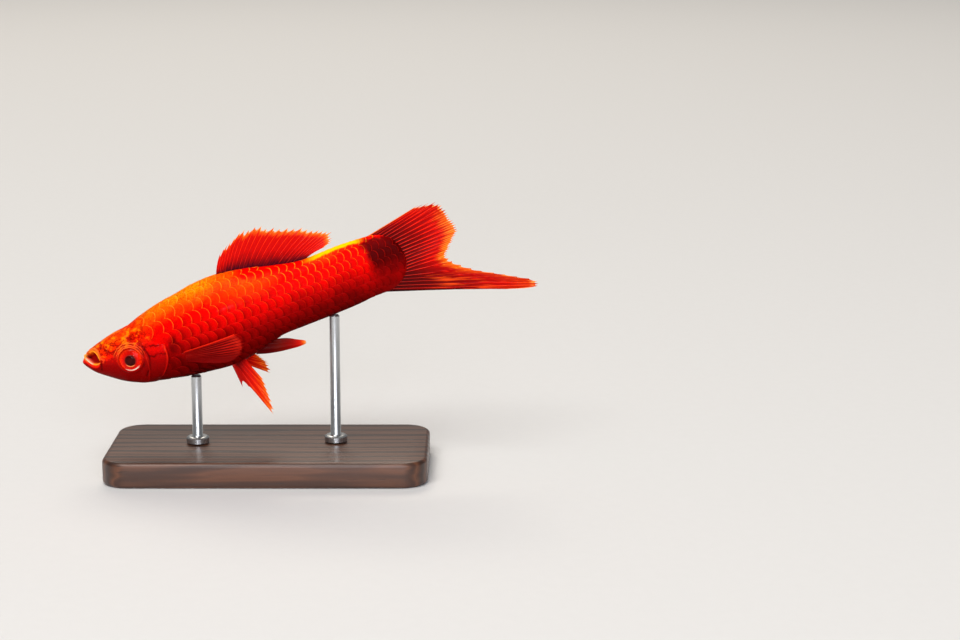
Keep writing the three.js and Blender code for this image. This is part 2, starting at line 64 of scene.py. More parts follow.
def through(points):
    """A smooth curve through a few (place, value) pairs, as a function of the place."""
    places, values = np.array(points, float).T
    last = len(places) - 1
    before = np.maximum(np.arange(last + 1) - 1, 0)
    after = np.minimum(np.arange(last + 1) + 1, last)
    slopes = (values[after] - values[before]) / (places[after] - places[before])

    def curve(x):
        x = np.clip(x, places[0], places[-1])
        k = np.clip(np.searchsorted(places, x, side="right") - 1, 0, last - 1)
        span = places[k + 1] - places[k]
        t = (x - places[k]) / span
        bend = t * t * (3 - 2 * t)
        swing = span * t * (1 - t) * (slopes[k] * (1 - t) - slopes[k + 1] * t)
        return values[k] * (1 - bend) + values[k + 1] * bend + swing

    return curve


def smooth(x):
    """0 below 0 and 1 above 1, with a smooth step between."""
    t = np.clip(x, 0.0, 1.0)
    return t * t * (3 - 2 * t)


def rounded(x, length):
    """Half thickness of a rounded end, as a share: 0 at the end and 1 from the given length on."""
    return np.sqrt(np.clip(1 - (1 - np.clip(x / length, 0, 1)) ** 2, 0, 1))


back = through([
    (0, 1.3), (1.6, 1.95), (3.6, 2.8), (7.1, 3.9), (9.8, 4.45), (13.5, 6.0), (17, 7.05), (21, 8.05),
    (25, 8.95), (29.5, 9.4), (35, 9.0), (41, 8.0), (46, 7.35), (50, 7.65), (54, 8.0), (58, 8.05),
    (FLESH_LENGTH, 8.0),
])
belly = through([
    (0, -0.9), (1.2, -1.9), (3.7, -3.75), (6.9, -5.8), (10.3, -7.1), (14, -7.75), (19, -8.35), (24, -8.7),
    (28, -8.75), (31.5, -8.1), (35, -6.9), (38.5, -5.85), (43, -5.4), (48, -5.0), (54, -4.4), (58, -3.75),
    (FLESH_LENGTH, -3.5),
])
half_width = through([
    (0, 1.7), (1.6, 2.2), (3.6, 2.85), (7, 3.7), (10, 4.3), (13.5, 4.85), (17, 5.15), (22, 5.3), (28, 5.1),
    (34, 4.55), (40, 3.9), (46, 3.3), (52, 2.6), (58, 1.75), (62.5, 0.9), (FLESH_LENGTH, 0.4),
])
widest_level = through([
    (0, 0.1), (9, -0.9), (18, 0.2), (30, 0.6), (45, 1.1), (58, 1.9), (FLESH_LENGTH, 1.9),
])
upper_squareness = through([(0, 2.2), (5, 2.7), (11, 2.6), (18, 2.1), (40, 2), (FLESH_LENGTH, 2.2)])
lower_squareness = through([(0, 2.1), (9, 2), (24, 2.15), (40, 2.05), (FLESH_LENGTH, 2.2)])


def sideways(u):
    """The body's gentle bend: the head turns a little to the left and the tail sweeps to the right."""
    return -HEAD_TURN * np.clip(1 - u / 20, 0, None) ** 2 + TAIL_SWEEP * smooth((u - 28) / 54)


def section(u, angle):
    """A point of the body's outline: back from the snout, across and up. Angle 0 is the right side."""
    level = widest_level(u)
    upper = np.sin(angle) >= 0
    power = 2 / np.where(upper, upper_squareness(u), lower_squareness(u))
    close = rounded(u, SNOUT_ROUND)
    reach = np.where(upper, back(u) - level, level - belly(u)) * close
    reach = reach * rounded(FLESH_LENGTH - u, TAIL_ROUND)
    across = half_width(u) * close * rounded(FLESH_LENGTH - u, TAIL_EDGE_ROUND)
    c, s = np.cos(angle), np.sin(angle)
    y = across * np.sign(c) * np.abs(c) ** power
    v = level + reach * np.sign(s) * np.abs(s) ** power
    return np.stack([u + 0 * angle, y, v], -1)


def lifted(u, angle, lift):
    """A point of the outline moved out along its normal, with the body's bend."""
    step = 0.03
    lengthwise = section(u + step, angle) - section(u - step, angle)
    around = section(u, angle + step) - section(u, angle - step)
    out = np.cross(around, lengthwise)
    out /= np.linalg.norm(out, axis=-1, keepdims=True) + 1e-12
    point = section(u, angle) + out * np.asarray(lift)[..., None]
    point[..., 1] += sideways(point[..., 0])
    return point


def in_place(points):
    """The fish's own millimetres, tipped by the pitch and put over the base, in metres."""
    u, y, v = points[..., 0], points[..., 1], points[..., 2]
    x = SNOUT_AT[0] + u * math.cos(PITCH) - v * math.sin(PITCH)
    z = SNOUT_AT[2] + u * math.sin(PITCH) + v * math.cos(PITCH)
    return np.stack([x, y, z], -1) * MM


def make_mesh(name, points, faces):
    """A smooth-shaded object of these points and faces, in the scene."""
    mesh = bpy.data.meshes.new(name)
    mesh.from_pydata(points.reshape(-1, 3).tolist(), [], [list(map(int, f)) for f in faces])
    mesh.validate()
    mesh.polygons.foreach_set("use_smooth", [True] * len(mesh.polygons))
    made = bpy.data.objects.new(name, mesh)
    bpy.context.scene.collection.objects.link(made)
    return made


def give_values(piece, name, values):
    """One number, or one vector, for each vertex, for the materials to read."""
    values = np.asarray(values, float)
    kind, field = ("FLOAT", "value") if values.ndim == 1 else ("FLOAT_VECTOR", "vector")
    attribute = piece.data.attributes.new(name, kind, "POINT")
    attribute.data.foreach_set(field, values.ravel())


def grid_faces(rows, columns, wrap):
    """Four-sided faces of a grid of rows by columns, closed round on itself where wrap is set."""
    across = columns if wrap else columns - 1
    i, j = np.meshgrid(np.arange(rows - 1), np.arange(across), indexing="ij")
    k = (j + 1) % columns
    corners = [i * columns + j, i * columns + k, (i + 1) * columns + k, (i + 1) * columns + j]
    return np.stack(corners, -1).reshape(-1, 4)


def closed_tube(points, before=0.0, behind=0.0):
    """All points and faces of a tube of rings, closed at each end by a fan round a pole. The poles may
    stand a little before the first ring and behind the last one."""
    rings, around = points.shape[:2]
    near_pole = points[0].mean(0) - np.array([before, 0, 0])
    far_pole = points[-1].mean(0) + np.array([behind, 0, 0])
    faces = grid_faces(rings, around, True).tolist()
    count, last_ring = rings * around, (rings - 1) * around
    for j in range(around):
        k = (j + 1) % around
        faces.append([count, k, j])
        faces.append([count + 1, last_ring + j, last_ring + k])
    return np.vstack([points.reshape(-1, 3), near_pole, far_pole]), faces


# Places and sizes of the head's parts in mm: u is back from the snout, v is up and y is outwards.
EYE = {
    "u": 9.7, "v": -1.3, "y": 3.4, "radius": 2.5, "depth": 1.25, "opening": 2.3, "turn": math.radians(9),
}
PUPIL = {"radius": 1.02, "down": 0.13, "back": 0.15}
SOCKET_DEPTH = 1.4
BROW_FOLDS = (0.08, 0.46, 0.92)  # out from the socket's opening
GILL = {"rise": 0.55, "from": 10.5, "rear": 17.1, "level": -1.6, "bottom": -7.1, "top": 0.3}
FORE_COVER = {"rise": 0.16, "rear": 13.1, "level": -2.2, "bottom": -7.4, "top": -0.9}
MOUTH = {"front": (1.2, 1.35), "corner": (3.75, -0.35), "depth": 1.1}
UPPER_LIP, LOWER_LIP = 0.2, 0.28  # rise
UPPER_FOLDS = [(0.38, -0.14, 0.08), (0.6, 0.14, 0.15), (0.86, -0.08, 0.08)]  # out from the rim, rise, width
LOWER_FOLDS = [(1.05, -0.06, 0.1)]
NOSTRILS = [(4.6, 2.15, 0.22), (5.5, 1.5, 0.26)]  # back, up, radius
# The open mouth's upper and lower rims, by their distance from its long axis at shares along it.
upper_rim = through([(0, 0.2), (0.13, 0.5), (0.32, 1.2), (0.52, 1.3), (0.72, 1.0), (0.88, 0.5), (1, 0.05)])
lower_rim = through([(0, -0.12), (0.2, -0.3), (0.4, -0.5), (0.65, -0.6), (0.88, -0.42), (1, -0.05)])


def bump(distance, width):
    """A bell curve: 1 at a distance of 0, and almost 0 beyond twice the width."""
    return np.exp(-((distance / width) ** 2))


def shape_mouth(relief, u, v):
    """The open mouth: an oval hollow with a lip round it, and folds of skin that follow the lips. A painted
    highlight runs along each lip, the lower jaw is brighter towards the mouth, and the hollow is painted
    dark as shade."""
    axis = np.array(MOUTH["corner"]) - np.array(MOUTH["front"])
    length = np.hypot(*axis)
    axis /= length
    du, dv = u - MOUTH["front"][0], v - MOUTH["front"][1]
    share = (du * axis[0] + dv * axis[1]) / length
    side = dv * axis[0] - du * axis[1]
    above, below = side - upper_rim(share), lower_rim(share) - side
    past = np.maximum(np.maximum(above, below), (share - 1) * length)
    gape = smooth(0.5 - past / 0.16)
    near = smooth((1.45 - share) / 0.3)
    upper, lower = near * (above > below), near * (above <= below)
    relief["rise"] -= MOUTH["depth"] * gape
    relief["rise"] += (UPPER_LIP * upper + LOWER_LIP * lower) * bump(past - 0.16, 0.2) * (1 - gape)
    for lip, folds in ((upper, UPPER_FOLDS), (lower, LOWER_FOLDS)):
        for out, high, wide in folds:
            relief["rise"] += high * lip * bump(past - out, wide)
    # The inside of the mouth is painted dark: painted shade.
    relief["hollow"] = 1.8 * gape
    relief["crease"] = upper * (0.9 * bump(past - 0.38, 0.1) + 0.6 * bump(past - 0.88, 0.1))
    relief["fold"] = 0.8 * upper * bump(past - 0.62, 0.18)
    lit = upper * bump(above - 0.2, 0.15) * smooth((share - 0.1) / 0.2) * smooth((1.02 - share) / 0.15)
    lit += lower * bump(below - 0.1, 0.09) * smooth((share - 0.6) / 0.12) * smooth((1.08 - share) / 0.1)
    pale = lower * bump(below - 0.13, 0.07) * smooth((0.68 - share) / 0.1) * smooth((share - 0.05) / 0.1)
    # lit and pale are painted highlights along the rims of the lips.
    relief["lit"] = lit * (1 - gape) ** 2
    relief["pale"] = pale * (1 - gape) ** 2
    jaw = lower * np.clip(1 - past / 1.25, 0, 1) * smooth((1.08 - share) / 0.1)
    relief["jaw"] = jaw * (1 - gape)


def shape_eye_socket(relief, u, v):
    """The eye's socket, the round fold that rims it, and the finer folds over it."""
    du, dv = u - EYE["u"], v - EYE["v"]
    r = np.hypot(du, dv)
    relief["rise"] -= SOCKET_DEPTH * smooth((EYE["opening"] - r) / 0.22)
    relief["rise"] += (0.14 + 0.16 * smooth((-0.6 - dv) / 1.2)) * bump(r - EYE["opening"] - 0.16, 0.2)
    relief["fold"] += 0.3 * bump(r - EYE["opening"] - 0.15, 0.13) * smooth((dv + 2.6) / 2)
    relief["socket"] = smooth((EYE["opening"] + 0.05 - r) / 0.2)
    over = smooth((dv + 0.15 * du - 0.2) / 1.3)
    uneven = 0.05 * np.sin(5.1 * u + 2.2 * v) + 0.03 * np.sin(11 * u)
    # The creases over and between the folds carry painted shade.
    relief["crease"] += 0.6 * over * bump(r - EYE["opening"] - 0.6, 0.5)
    for k, gap in enumerate(BROW_FOLDS):
        relief["rise"] += (0.13 - 0.02 * k) * over * bump(r - EYE["opening"] - gap + uneven, 0.1)
        relief["fold"] += (0.95 - 0.15 * k) * over * bump(r - EYE["opening"] - gap + uneven, 0.08)
        relief["crease"] += 0.6 * over * bump(r - EYE["opening"] - gap - 0.21 + uneven, 0.09)


def shape_nostrils(relief, u, v):
    """Two small pits to each side, with raised rims."""
    for from_snout, up, radius in NOSTRILS:
        r = np.hypot(u - from_snout, v - up)
        relief["rise"] += 0.12 * bump(r - radius - 0.12, 0.11)
        relief["rise"] -= 0.3 * smooth((radius - r) / 0.16 + 0.3)
        # The pits are painted dark: painted shade.
        relief["hollow"] += 0.75 * smooth((radius - r) / 0.14 + 0.4)


# Creases of the head, painted dark as shade in them: over the eye and back to the gill cover, down behind
# the eye, along the nostrils, and by the jaw.
CREASE_DEPTH, CREASE_WIDTH = 0.07, 0.19
CREASES = [
    [
        (5.8, 1.2), (6.8, 0.95), (7.7, 1.0), (8.8, 2.2), (10.7, 2.7), (11.8, 1.95), (12.9, 0.6),
        (13.6, -1.4), (14.75, -1.7), (16.1, -1.6), (17.4, -2.0),
    ],
    [(12.9, 0.6), (14.2, 0.2), (16.1, 0.05), (17.6, -0.35)],
    [(13.6, -1.4), (13.45, -2.4), (12.8, -4.0), (11.7, -5.1)],
    [(12.6, -0.4), (12.1, -2.1), (11.9, -3.3)],
    [(4.2, 3.3), (4.8, 2.4), (5.4, 1.6), (5.8, 1.2)],
    [(3.85, -0.3), (3.9, -0.9), (3.5, -1.9)],
]


def distance_to_line(u, v, points):
    """Distance from places on the flank to a line through points."""
    nearest = np.full(np.shape(u), np.inf)
    for (ua, va), (ub, vb) in zip(points, points[1:]):
        du, dv = ub - ua, vb - va
        share = np.clip(((u - ua) * du + (v - va) * dv) / (du * du + dv * dv), 0, 1)
        nearest = np.minimum(nearest, np.hypot(u - ua - share * du, v - va - share * dv))
    return nearest


def shape_creases(relief, u, v):
    """The creases wander a little about their lines, and leave the eye's own folds alone."""
    clear_of_eye = np.hypot(u - EYE["u"], v - EYE["v"]) > EYE["opening"] + 0.4
    wander = 0.12 * np.sin(2.9 * u + 1.3 * v) + 0.08 * np.sin(6.7 * u - 3.1 * v)
    for line in CREASES:
        close = bump(distance_to_line(u, v + wander, line), CREASE_WIDTH)
        relief["rise"] -= CREASE_DEPTH * close
        relief["crease"] = relief["crease"] + close * clear_of_eye


def gill_edge(v):
    """How far back the gill cover's free edge lies at this height."""
    return GILL["rear"] - np.where(v > GILL["level"], 0.033, 0.13) * (v - GILL["level"]) ** 2


def gill_cover(v):
    """How far the gill cover stands free at this height: 1 along its middle and 0 at its ends."""
    return smooth((v - GILL["bottom"]) / 1.6) * smooth((GILL["top"] - v) / 1.6)


def shape_gill_covers(relief, u, v):
    """The step down behind the fore gill cover, and the pale line along the edge of each cover."""
    edge = FORE_COVER["rear"] - 0.085 * (v - FORE_COVER["level"]) ** 2
    fore = smooth((v - FORE_COVER["bottom"]) / 1.2) * smooth((FORE_COVER["top"] - v) / 1.0)
    before_edge = smooth((edge - u) / 0.5 + 1) * smooth((u - edge + 2.6) / 1.8)
    relief["rise"] += fore * FORE_COVER["rise"] * before_edge * (u < edge + 0.02)
    relief["fold"] += 0.35 * fore * bump(u - edge + 0.12, 0.14)
    relief["fold"] += 0.85 * gill_cover(v) * bump(u - gill_edge(v) + 0.14, 0.13) * smooth((v + 7) / 2)


def head_relief(u, v):
    """Rise of the head's skin in mm, and the marks that colour it, each between 0 and 1."""
    relief = {"rise": GILL["rise"] * smooth((u - GILL["from"]) / 4.5) * gill_cover(v)}
    shape_mouth(relief, u, v)
    shape_eye_socket(relief, u, v)
    shape_nostrils(relief, u, v)
    shape_creases(relief, u, v)
    shape_gill_covers(relief, u, v)
    for mark in ("hollow", "fold", "crease"):
        relief[mark] = np.clip(relief[mark], 0, 1)
    return relief


def scaled_share(u, v):
    """1 where scales cover the skin: behind the gill cover, and forward over the nape."""
    height = (v - belly(u)) / (back(u) - belly(u))
    front = 17.2 - 6.5 * smooth((height - 0.5) / 0.3)
    return smooth((u - front) / 1.2 + 1)


AROUND = 284  # points in each ring
SNOUT_RINGS, HEAD_RINGS, BODY_RINGS, TAIL_RINGS = 34, 165, 74, 22
LEAN_FROM, LEAN_FADE = 8.5, 16.0  # mm: rings lean into the gill edge's curve, and back out of it behind
turn = np.arange(AROUND) / AROUND * 2 * math.pi
angles = turn - 0.24 * np.sin(2 * turn)  # closer together on the flanks, where the eyes are
snout_rings = SNOUT_ROUND * (1 - np.cos(np.linspace(0.03, math.pi / 2, SNOUT_RINGS)))
head_rings = np.linspace(SNOUT_ROUND, GILL["rear"], HEAD_RINGS + 1)[1:]
# The gill cover's free edge, folded over and back under: along, out, and how far down to the scaled skin.
GILL_FOLD = [
    (0.09, 0.92, 0.0), (0.13, 0.74, 0.0), (0.1, 0.5, 0.2), (0.0, 0.34, 0.5), (-0.5, 0.24, 0.8),
    (-0.85, 0.08, 1.0), (-0.6, 0.0, 1.0), (-0.1, 0.0, 1.0), (0.25, 0.0, 1.0),
]
body_rings = np.linspace(GILL["rear"] + 0.6, FLESH_LENGTH - TAIL_ROUND, BODY_RINGS)
tail_rings = np.sin(np.linspace(0.06, math.pi / 2 - 0.04, TAIL_RINGS))
tail_rings = FLESH_LENGTH - TAIL_ROUND * (1 - tail_rings)

# Each ring is its places along the body with, from the gill edge on, its lift and its share of scaled skin.
edge_height = section(np.full(AROUND, GILL["rear"] - 1), angles)[:, 2]
edge_shift = gill_edge(edge_height) - GILL["rear"]
free = gill_cover(edge_height)
rings = []
for u in np.concatenate([snout_rings, head_rings]):
    shifted = u + edge_shift * smooth((u - LEAN_FROM) / (GILL["rear"] - LEAN_FROM))
    rings.append((shifted, None))
for k, (back_by, out, down) in enumerate(GILL_FOLD):
    shifted = GILL["rear"] + edge_shift + free * back_by + (1 - free) * 0.05 * (k + 1)
    rings.append((shifted, (GILL["rise"] * out * free, down)))
for u in np.concatenate([body_rings, tail_rings]):
    shifted = u + edge_shift * (1 - smooth((u - GILL["rear"]) / LEAN_FADE))
    rings.append((shifted, (0 * free, 1.0)))

skin_u = np.stack([r[0] for r in rings])
skin_angle = np.tile(angles, (len(rings), 1))
flat = section(skin_u, skin_angle)
relief = head_relief(skin_u, flat[..., 2])
lift = relief["rise"] - COAT * scaled_share(skin_u, flat[..., 2]) * (skin_u > 3)
for k, (_, behind_gill) in enumerate(rings):
    if behind_gill:
        out, down = behind_gill
        lift[k] = out - COAT * (down * free + (1 - free) * scaled_share(skin_u[k], flat[k, :, 2]))
        behind_edge = skin_u[k] - GILL["rear"] - edge_shift
        past_gill = smooth(behind_edge / 1.5)
        lift[k] = lift[k] * (1 - past_gill) - COAT * past_gill
        for mark in relief:
            relief[mark][k] = 0
        # Close under the gill cover's free edge the skin is painted dark: painted shade.
        relief["hollow"][k] = free * (down > 0.3) * (1 - smooth(behind_edge / 0.3))
skin_points, faces = closed_tube(lifted(skin_u, skin_angle, lift), before=0.01, behind=0.02)
skin = make_mesh("skin", in_place(skin_points), faces)


def body_place(u, v):
    """Where a point lies on the body: back as a share of its length, and up from belly to back."""
    height = (v - belly(u)) / (back(u) - belly(u))
    return np.stack([u / FLESH_LENGTH, height, 0 * u], -1)


ends = np.array([[0.0, 0.5, 0.0], [1.0, 0.5, 0.0]])
give_values(skin, "body_place", np.vstack([body_place(skin_u, flat[..., 2]).reshape(-1, 3), ends]))
MARKS = ("hollow", "fold", "socket", "crease", "lit", "pale", "jaw")
for mark in MARKS:
    give_values(skin, mark, np.append(relief[mark].ravel(), [0, 0]))


def linear(hex_colour):
    """An sRGB hex colour as the linear colour that the shader needs."""
    channels = [int(hex_colour[i : i + 2], 16) / 255 for i in (1, 3, 5)]
    return [c / 12.92 if c <= 0.04045 else ((c + 0.055) / 1.055) ** 2.4 for c in channels] + [1.0]


def new_material(name, **settings):
    """A material under its real name. The settings are values of its shader's own sockets."""
    material = bpy.data.materials.new(name)
    material.use_nodes = True
    shader = material.node_tree.nodes["Principled BSDF"]
    for socket_name, value in settings.items():
        shader.inputs[socket_name.replace("_", " ")].default_value = value
    return material, material.node_tree, shader


def add(tree, kind, inputs=(), operation=None, output=0, stops=(), **settings):
    """Adds a node with its settings and links, and gives one of its outputs. An input is a number, a hex
    colour or the output that feeds it. Stops are the places on a ramp, each with its colour or value."""
    node = tree.nodes.new("ShaderNode" + kind)
    if operation:
        node.operation = operation
    for name, value in settings.items():
        setattr(node, name, value)
    for key, value in inputs.items() if isinstance(inputs, dict) else enumerate(inputs):
        if isinstance(value, bpy.types.NodeSocket):
            tree.links.new(value, node.inputs[key])
        else:
            node.inputs[key].default_value = linear(value) if isinstance(value, str) else value
    if stops:
        elements = node.color_ramp.elements
        for _ in stops[2:]:
            elements.new(0.5)
        for element, (place, _) in zip(elements, stops):
            element.position = place
        for element, (_, colour) in zip(elements, stops):
            element.color = linear(colour) if isinstance(colour, str) else (colour, colour, colour, 1)
    return node.outputs[output]


# Settings of a Map Range node that steps smoothly between two places, and of a Mix node that mixes colours.
STEP = {"interpolation_type": "SMOOTHSTEP"}
COLOURS = {"data_type": "RGBA", "output": 2}


def band(tree, value, rise, fall):
    """1 over a band of a value, with a smooth rise before it and a smooth fall behind it."""
    risen = add(tree, "MapRange", [value, *rise], **STEP)
    fallen = add(tree, "MapRange", [value, *fall], **STEP)
    return add(tree, "Math", [risen, fallen], "SUBTRACT")


def fish_markings(tree):
    """The pattern of skin and scales: orange back, red flank, dark belly, and the maroon tail patch. The
    back's yellowing and the belly's darkness are partly painted light and shade from above, and there is a
    painted shadow by the shoulder and a painted highlight along the ridge of the back.
    """
    place = add(tree, "TexCoord", output="Object")
    on_body = add(tree, "Attribute", output="Vector", attribute_name="body_place")
    length, height = add(tree, "SeparateXYZ", [on_body]).node.outputs[:2]
    coarse = add(tree, "TexNoise", {"Vector": place, "Scale": 0.5 / MM, "Detail": 4.0, "Roughness": 0.6})
    coarse = add(tree, "Math", [coarse, 0.5], "SUBTRACT")
    fine = add(tree, "TexNoise", {"Vector": place, "Scale": 2.4 / MM, "Detail": 4.0, "Roughness": 0.65})
    uneven = add(tree, "Math", [coarse, 0.2, height], "MULTIPLY_ADD")
    uneven = add(tree, "Math", [add(tree, "Math", [fine, 0.5], "SUBTRACT"), 0.1, uneven], "MULTIPLY_ADD")
    # How much further down the flank's bright red reaches, above or below a half, from snout to tail.
    reaches = add(tree, "ValToRGB", [length], stops=[
        (0.0, 0.5), (0.27, 0.5), (0.33, 0.47), (0.39, 0.55), (0.46, 0.55), (0.53, 0.58), (0.61, 0.58),
        (0.68, 0.5), (0.83, 0.5), (0.88, 0.61),
    ])
    flank_height = add(tree, "Math", [uneven, add(tree, "Math", [reaches, 0.5], "SUBTRACT")], "ADD")
    # The flank is darker towards the belly: partly its own colour, partly painted shade under light from
    # above.
    flank = add(tree, "ValToRGB", [flank_height], stops=[
        (0.0, "#480302"), (0.08, "#680202"), (0.22, "#7A0202"), (0.33, "#980202"), (0.43, "#B00303"),
        (0.52, "#D00302"), (0.6, "#E60200"), (0.7, "#F00200"), (1.0, "#F40400"),
    ])
    # The head is also darker low down: partly its own colour, partly painted shade.
    head = add(tree, "ValToRGB", [uneven], stops=[
        (0.0, "#560302"), (0.1, "#7E0202"), (0.4, "#8C0303"), (0.5, "#A40605"), (0.58, "#C81008"),
        (0.7, "#E8300A"), (0.85, "#F2500A"),
    ])
    on_head = add(tree, "MapRange", [length, 0.18, 0.24, 1, 0], **STEP)
    flank = add(tree, "Mix", {0: on_head, 6: flank, 7: head}, **COLOURS)
    # The back's orange, yellowing towards the top, is partly the fish's own colour and partly painted light
    # from above.
    # How high up the side the orange of the back starts, from snout to tail.
    starts = add(tree, "ValToRGB", [length], stops=[
        (0.0, 0.5), (0.09, 0.56), (0.14, 0.62), (0.19, 0.7), (0.23, 0.74), (0.275, 0.78), (0.335, 0.76),
        (0.4, 0.72), (0.457, 0.68), (0.5, 0.63), (0.55, 0.6), (0.61, 0.7), (0.65, 0.88), (0.69, 1.0),
        (0.73, 0.88), (0.762, 0.81), (0.823, 0.86), (0.884, 0.94), (0.93, 1.0),
    ])
    over = add(tree, "Math", [uneven, starts], "SUBTRACT")
    # How fast it turns yellow above that, as a fifth of the real slope, because a ramp ends at 1.
    slope = add(tree, "ValToRGB", [length], stops=[
        (0.0, 0.34), (0.1, 0.3), (0.18, 0.28), (0.23, 0.66), (0.33, 0.92), (0.41, 0.74), (0.46, 0.36),
        (0.53, 0.4), (0.61, 0.3), (0.75, 0.65), (0.82, 0.5), (0.88, 0.3),
    ])
    yellowing_and_painted_light = add(tree, "Math", [add(tree, "Math", [over, slope], "MULTIPLY"), 5.0], "MULTIPLY")
    orange = add(tree, "ValToRGB", [yellowing_and_painted_light], stops=[
        (0.0, "#F40A00"), (0.15, "#F62000"), (0.3, "#F83A00"), (0.5, "#FA5A02"), (0.7, "#FB7C02"),
        (0.9, "#FC9A04"),
    ])
    speckle = add(tree, "MapRange", [fine, 0.48, 0.58, 0, 0.6], **STEP)
    orange = add(tree, "Mix", {0: speckle, 6: orange, 7: "#F02802"}, **COLOURS)
    # Along the root of the dorsal fin the back stays red: painted shade of the fin, kept clear of the
    # painted light.
    by_ridge = add(tree, "MapRange", [uneven, 0.82, 0.93], **STEP)
    fin_shade_on_back = band(tree, length, (0.46, 0.53), (0.69, 0.72))
    fin_shade_on_back = add(tree, "Math", [fin_shade_on_back, by_ridge], "MULTIPLY")
    elsewhere = add(tree, "Math", [1.0, fin_shade_on_back], "SUBTRACT")
    on_back = add(tree, "MapRange", [over, -0.03, 0.05], **STEP)
    on_back = add(tree, "Math", [on_back, elsewhere], "MULTIPLY")
    coloured = add(tree, "Mix", {0: on_back, 6: flank, 7: orange}, **COLOURS)
    # Yellow spots, painted highlights of the rough skin, red clouds, and fine wavy dark-red lines, painted
    # shade in its wrinkles, run over the head and the nape.
    clouds = add(tree, "TexNoise", {"Vector": place, "Scale": 0.62 / MM, "Detail": 3.0, "Roughness": 0.55})
    near_front = add(tree, "MapRange", [length, 0.17, 0.27, 0.85, 0], **STEP)
    upper_side = add(tree, "MapRange", [uneven, 0.42, 0.56], **STEP)
    near_front = add(tree, "Math", [near_front, upper_side], "MULTIPLY")
    painted_spot_highlight = add(tree, "MapRange", [clouds, 0.36, 0.47, 0.85, 0], **STEP)
    painted_spot_highlight = add(tree, "Math", [painted_spot_highlight, near_front], "MULTIPLY")
    painted_spot_highlight = add(tree, "Math", [painted_spot_highlight, add(tree, "MapRange", [uneven, 0.6, 0.72], **STEP)], "MULTIPLY")
    coloured = add(tree, "Mix", {0: painted_spot_highlight, 6: coloured, 7: "#FF9006"}, **COLOURS)
    cloudy = add(tree, "MapRange", [clouds, 0.47, 0.58, 0, 0.75], **STEP)
    cloudy = add(tree, "Math", [cloudy, near_front], "MULTIPLY")
    coloured = add(tree, "Mix", {0: cloudy, 6: coloured, 7: "#D81002"}, **COLOURS)
    wavy = add(tree, "TexNoise", {"Vector": place, "Scale": 0.75 / MM, "Detail": 3.0, "Roughness": 0.6})
    wavy = add(tree, "Math", [add(tree, "Math", [wavy, 0.5], "SUBTRACT")], "ABSOLUTE")
    wavy = add(tree, "MapRange", [wavy, 0.008, 0.055, 1, 0], **STEP)
    off_spots = add(tree, "MapRange", [clouds, 0.36, 0.48], **STEP)
    off_top = add(tree, "MapRange", [height, 0.86, 0.97, 1, 0.3], **STEP)
    for limit in (off_spots, near_front, off_top):
        wavy = add(tree, "Math", [wavy, limit], "MULTIPLY")
    coloured = add(tree, "Mix", {0: wavy, 6: coloured, 7: "#8C0402"}, **COLOURS)
    # Painted shadow in the hollow of the shoulder, close behind the upper part of the gill cover.
    shoulder_shadow = band(tree, length, (0.265, 0.275), (0.288, 0.308))
    at_level = band(tree, uneven, (0.34, 0.44), (0.5, 0.62))
    shoulder_shadow = add(tree, "Math", [add(tree, "Math", [shoulder_shadow, at_level], "MULTIPLY"), 0.75], "MULTIPLY")
    coloured = add(tree, "Mix", {0: shoulder_shadow, 6: coloured, 7: "#640203"}, **COLOURS)
    # A fine grain, stronger in green and blue than in red.
    grain = add(tree, "TexNoise", {"Vector": place, "Scale": 5.5 / MM, "Detail": 3.0, "Roughness": 0.6})
    red_grain = add(tree, "MapRange", [grain, 0.34, 0.62, 0.8, 1.04], **STEP)
    other_grain = add(tree, "MapRange", [grain, 0.34, 0.62, 0.56, 1.04], **STEP)
    grain = add(tree, "CombineColor", [red_grain, other_grain, other_grain])
    coloured = add(tree, "Mix", {0: 1.0, 6: coloured, 7: grain}, blend_type="MULTIPLY", **COLOURS)
    # The maroon patch over the end of the tail base, with a slanted, uneven front.
    patch = add(tree, "Math", [height, 0.034, length], "MULTIPLY_ADD")
    patch = add(tree, "Math", [coarse, 0.05, patch], "MULTIPLY_ADD")
    patch = add(tree, "MapRange", [patch, 0.9, 0.932], **STEP)
    patch = add(tree, "Math", [patch, add(tree, "MapRange", [uneven, 0.92, 0.98, 1, 0], **STEP)], "MULTIPLY")
    maroon = add(tree, "ValToRGB", [uneven], stops=[
        (0.1, "#780202"), (0.26, "#880202"), (0.4, "#700102"), (0.55, "#500001"), (0.75, "#4E0001"),
        (0.9, "#680102"),
    ])
    coloured = add(tree, "Mix", {0: patch, 6: coloured, 7: maroon}, **COLOURS)
    # A painted highlight: a bright yellow line along the ridge of the back, behind the dorsal fin.
    painted_ridge_highlight = add(tree, "Math", [coarse, 0.08, height], "MULTIPLY_ADD")
    painted_ridge_highlight = add(tree, "MapRange", [painted_ridge_highlight, 0.935, 0.965], **STEP)
    painted_ridge_highlight = add(tree, "Math", [painted_ridge_highlight, band(tree, length, (0.7, 0.76), (0.86, 0.9))], "MULTIPLY")
    return {
        "colour": coloured, "place": place, "height": height, "patch": patch, "painted_ridge_highlight": painted_ridge_highlight, "wavy": wavy,
        "length": length,
    }


# Fish skin: soft red skin under a thin wet film, with little shine of its own.
material, tree, shader = new_material(
    "wet fish skin", Roughness=0.5, IOR=1.38, Specular_IOR_Level=0.02, Coat_Weight=0.04, Coat_Roughness=0.06,
    Coat_IOR=1.34,
)
fish = fish_markings(tree)
marked = {mark: add(tree, "Attribute", output="Fac", attribute_name=mark) for mark in MARKS}
fold_colour = add(tree, "ValToRGB", [fish["height"]], stops=[
    (0.3, "#C00E06"), (0.45, "#E8240A"), (0.6, "#FF4E1C"), (0.8, "#FF7A2C"),
])
